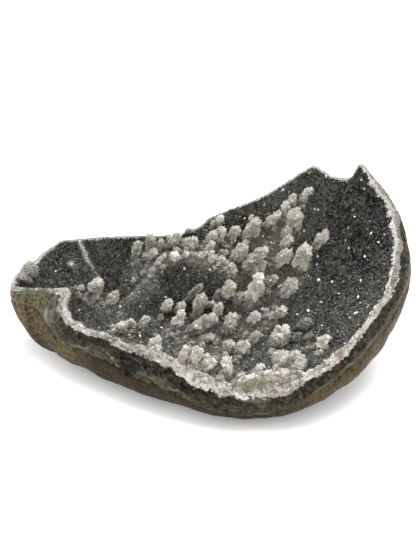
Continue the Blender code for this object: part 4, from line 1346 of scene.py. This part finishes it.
def make_fingers(name, rows, colours, grain, dice):
    """Fingers in one mesh, each row given with its dullness, which for the fingers behind the ridge is painted
    shade.
    """
    marks = {mark: [] for mark in ("tone", "rise", "dull", "stain", "glint", "warm")}
    all_points, all_faces, start = [], [], 0
    for row, dull in rows:
        points, faces, owner, share, sites, small = finger(*row, grain, dice)
        all_points.append(points)
        all_faces.append(faces + start)
        start += len(points)
        own = dice.normal() * 0.12
        # painted shade: the tone follows the small blocks' relief, lighter on their tops and darker between them
        tone = 0.5 + own + 0.15 * noise(sites, 4.0, 121) + 0.5 * small + 0.2 * dice.normal(size=len(sites))
        warm = 0.45 * (1.0 - dull) * dice.uniform() ** 2
        warm += 0.6 * math.exp(-((math.dist(row[:2], WARM) / WARM_REACH) ** 2))
        glint = dice.uniform(size=len(sites)) < FINGER_GLINTS * (1.0 - dull)
        stain = 0.5 * (1.0 - dull) * ease(noise(sites, 3.5, 122), 0.66, 0.85)
        dull, warm = np.full(len(sites), dull), np.full(len(sites), warm)
        each = (np.clip(tone, 0.0, 1.0), share, dull, stain, glint, warm)
        for values, mark in zip(each, marks.values()):
            mark.append(values[owner])
    marks = {mark: np.concatenate(values) for mark, values in marks.items()}
    points, faces = np.concatenate(all_points), np.concatenate(all_faces)
    piece = new_piece(name, points, faces, [drusy_fingers(colours)], marks)
    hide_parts("crystal_crust")


# The stage

AIM = (-0.010, 0.025, 0.065)  # metres, the point the camera looks at
DISTANCE = 0.72  # metres from it
ELEVATION = 38.0  # degrees over the horizon
LENS = 58.38  # millimetres on a 36 mm frame
PAPER = 3.0  # metres, half of the paper's side
DAYLIGHT = 1.4  # strength of the white room
# Each softbox: its place and width in metres, and its watts.
SOFTBOXES = {"key_softbox": ((0.15, 0.3, 1.2), 1.1, 18.0), "fill_softbox": ((-0.7, -0.9, 0.9), 0.9, 2.4)}


def make_floor(colours):
    """A wide sheet of paper under the stone."""
    bm = bmesh.new()
    bmesh.ops.create_grid(bm, x_segments=24, y_segments=24, size=PAPER)
    mesh = bpy.data.meshes.new("paper_floor")
    bm.to_mesh(mesh)
    bm.free()
    mesh.materials.append(studio_floor(colours))
    floor = bpy.data.objects.new("paper_floor", mesh)
    bpy.context.collection.objects.link(floor)


def make_lamp(name, place, size, watts):
    """A round softbox turned to the stone."""
    lamp = bpy.data.lights.new(name, "AREA")
    lamp.shape = "DISK"
    lamp.size = size
    lamp.energy = watts
    thing = bpy.data.objects.new(name, lamp)
    thing.location = place
    thing.rotation_euler = (Vector(AIM) - Vector(place)).to_track_quat("-Z", "Y").to_euler()
    bpy.context.collection.objects.link(thing)


def make_stage(colours):
    """The paper, two softboxes in a white room, and the camera at the photograph's angle."""
    make_floor(colours)
    for name, (place, size, watts) in SOFTBOXES.items():
        make_lamp(name, place, size, watts)
    world = bpy.data.worlds.new("studio")
    world.use_nodes = True
    background = world.node_tree.nodes["Background"]
    background.inputs["Color"].default_value = (1.0, 1.0, 1.0, 1.0)
    background.inputs["Strength"].default_value = DAYLIGHT
    bpy.context.scene.world = world
    bpy.context.scene.view_settings.view_transform = "Standard"
    camera = bpy.data.objects.new("camera", bpy.data.cameras.new("camera"))
    camera.data.lens = LENS
    tilt = math.radians(ELEVATION)
    back = Vector((0.0, -math.cos(tilt), math.sin(tilt)))
    camera.location = Vector(AIM) + DISTANCE * back
    camera.rotation_euler = back.to_track_quat("Z", "Y").to_euler()
    bpy.context.collection.objects.link(camera)
    bpy.context.scene.camera = camera


# The add-on


class GEODE_OT_rock(bpy.types.Operator):
    """Build the basalt with its ground face and its rind"""

    bl_idname = "geode.rock"
    bl_label = "Basalt and rind"

    def execute(self, context):
        make_rock(context.scene.geode_sizes, context.scene.geode_colours)
        return {"FINISHED"}


class GEODE_OT_band(bpy.types.Operator):
    """Build the white quartz band round the rim"""

    bl_idname = "geode.band"
    bl_label = "White quartz band"

    def execute(self, context):
        make_band(context.scene.geode_sizes, context.scene.geode_colours)
        return {"FINISHED"}


class GEODE_OT_druse(bpy.types.Operator):
    """Build the dark crystals that line the hollow"""

    bl_idname = "geode.druse"
    bl_label = "Dark druse"

    def execute(self, context):
        make_druse(context.scene.geode_sizes, context.scene.geode_colours)
        return {"FINISHED"}


class GEODE_OT_fingers(bpy.types.Operator):
    """Build the pale crystal fingers"""

    bl_idname = "geode.fingers"
    bl_label = "Pale crystal fingers"

    def execute(self, context):
        sizes, colours = context.scene.geode_sizes, context.scene.geode_colours
        grain, dice = sizes.finger_grain / MM, np.random.default_rng(17)
        # painted shade: the fingers behind the ridge are darkened through their dullness
        shaded = ease([-x for x, *_ in PALE], 5.0, 45.0) * ease([y for _, y, *_ in PALE], 48.0, 54.0)
        rows = list(zip(PALE, 0.4 * shaded)) + [(row, 0.75) for row in DULL]
        make_fingers("pale_crystal_fingers", rows, colours, grain, dice)
        make_fingers("small_crystal_knobs", knobs(dice), colours, grain, dice)
        return {"FINISHED"}


class GEODE_OT_stage(bpy.types.Operator):
    """Set up the paper floor, the soft lights and the camera"""

    bl_idname = "geode.stage"
    bl_label = "Stage"

    def execute(self, context):
        make_stage(context.scene.geode_colours)
        return {"FINISHED"}


class GEODE_PT_parts(bpy.types.Panel):
    """The geode's pieces, sizes and colours"""

    bl_idname = "GEODE_PT_parts"
    bl_label = "Geode half"
    bl_space_type = "VIEW_3D"
    bl_region_type = "UI"
    bl_category = "Geode"

    def draw(self, context):
        layout = self.layout
        for operator in OPERATORS:
            layout.operator(operator.bl_idname)
        for group in (context.scene.geode_sizes, context.scene.geode_colours):
            box = layout.box()
            for name in group.__annotations__:
                box.prop(group, name)


OPERATORS = (GEODE_OT_rock, GEODE_OT_band, GEODE_OT_druse, GEODE_OT_fingers, GEODE_OT_stage)
CLASSES = (GeodeSizes, GeodeColours, *OPERATORS, GEODE_PT_parts)


def register():
    """Add the classes, and the sizes and colours to each scene."""
    for cls in CLASSES:
        bpy.utils.register_class(cls)
    bpy.types.Scene.geode_sizes = PointerProperty(type=GeodeSizes)
    bpy.types.Scene.geode_colours = PointerProperty(type=GeodeColours)


def unregister():
    """Take them away again."""
    del bpy.types.Scene.geode_colours
    del bpy.types.Scene.geode_sizes
    for cls in reversed(CLASSES):
        bpy.utils.unregister_class(cls)


def main():
    """Build every piece and the stage."""
    register()
    bpy.ops.geode.rock()
    bpy.ops.geode.band()
    bpy.ops.geode.druse()
    bpy.ops.geode.fingers()
    bpy.ops.geode.stage()


if __name__ == "__main__":
    main()
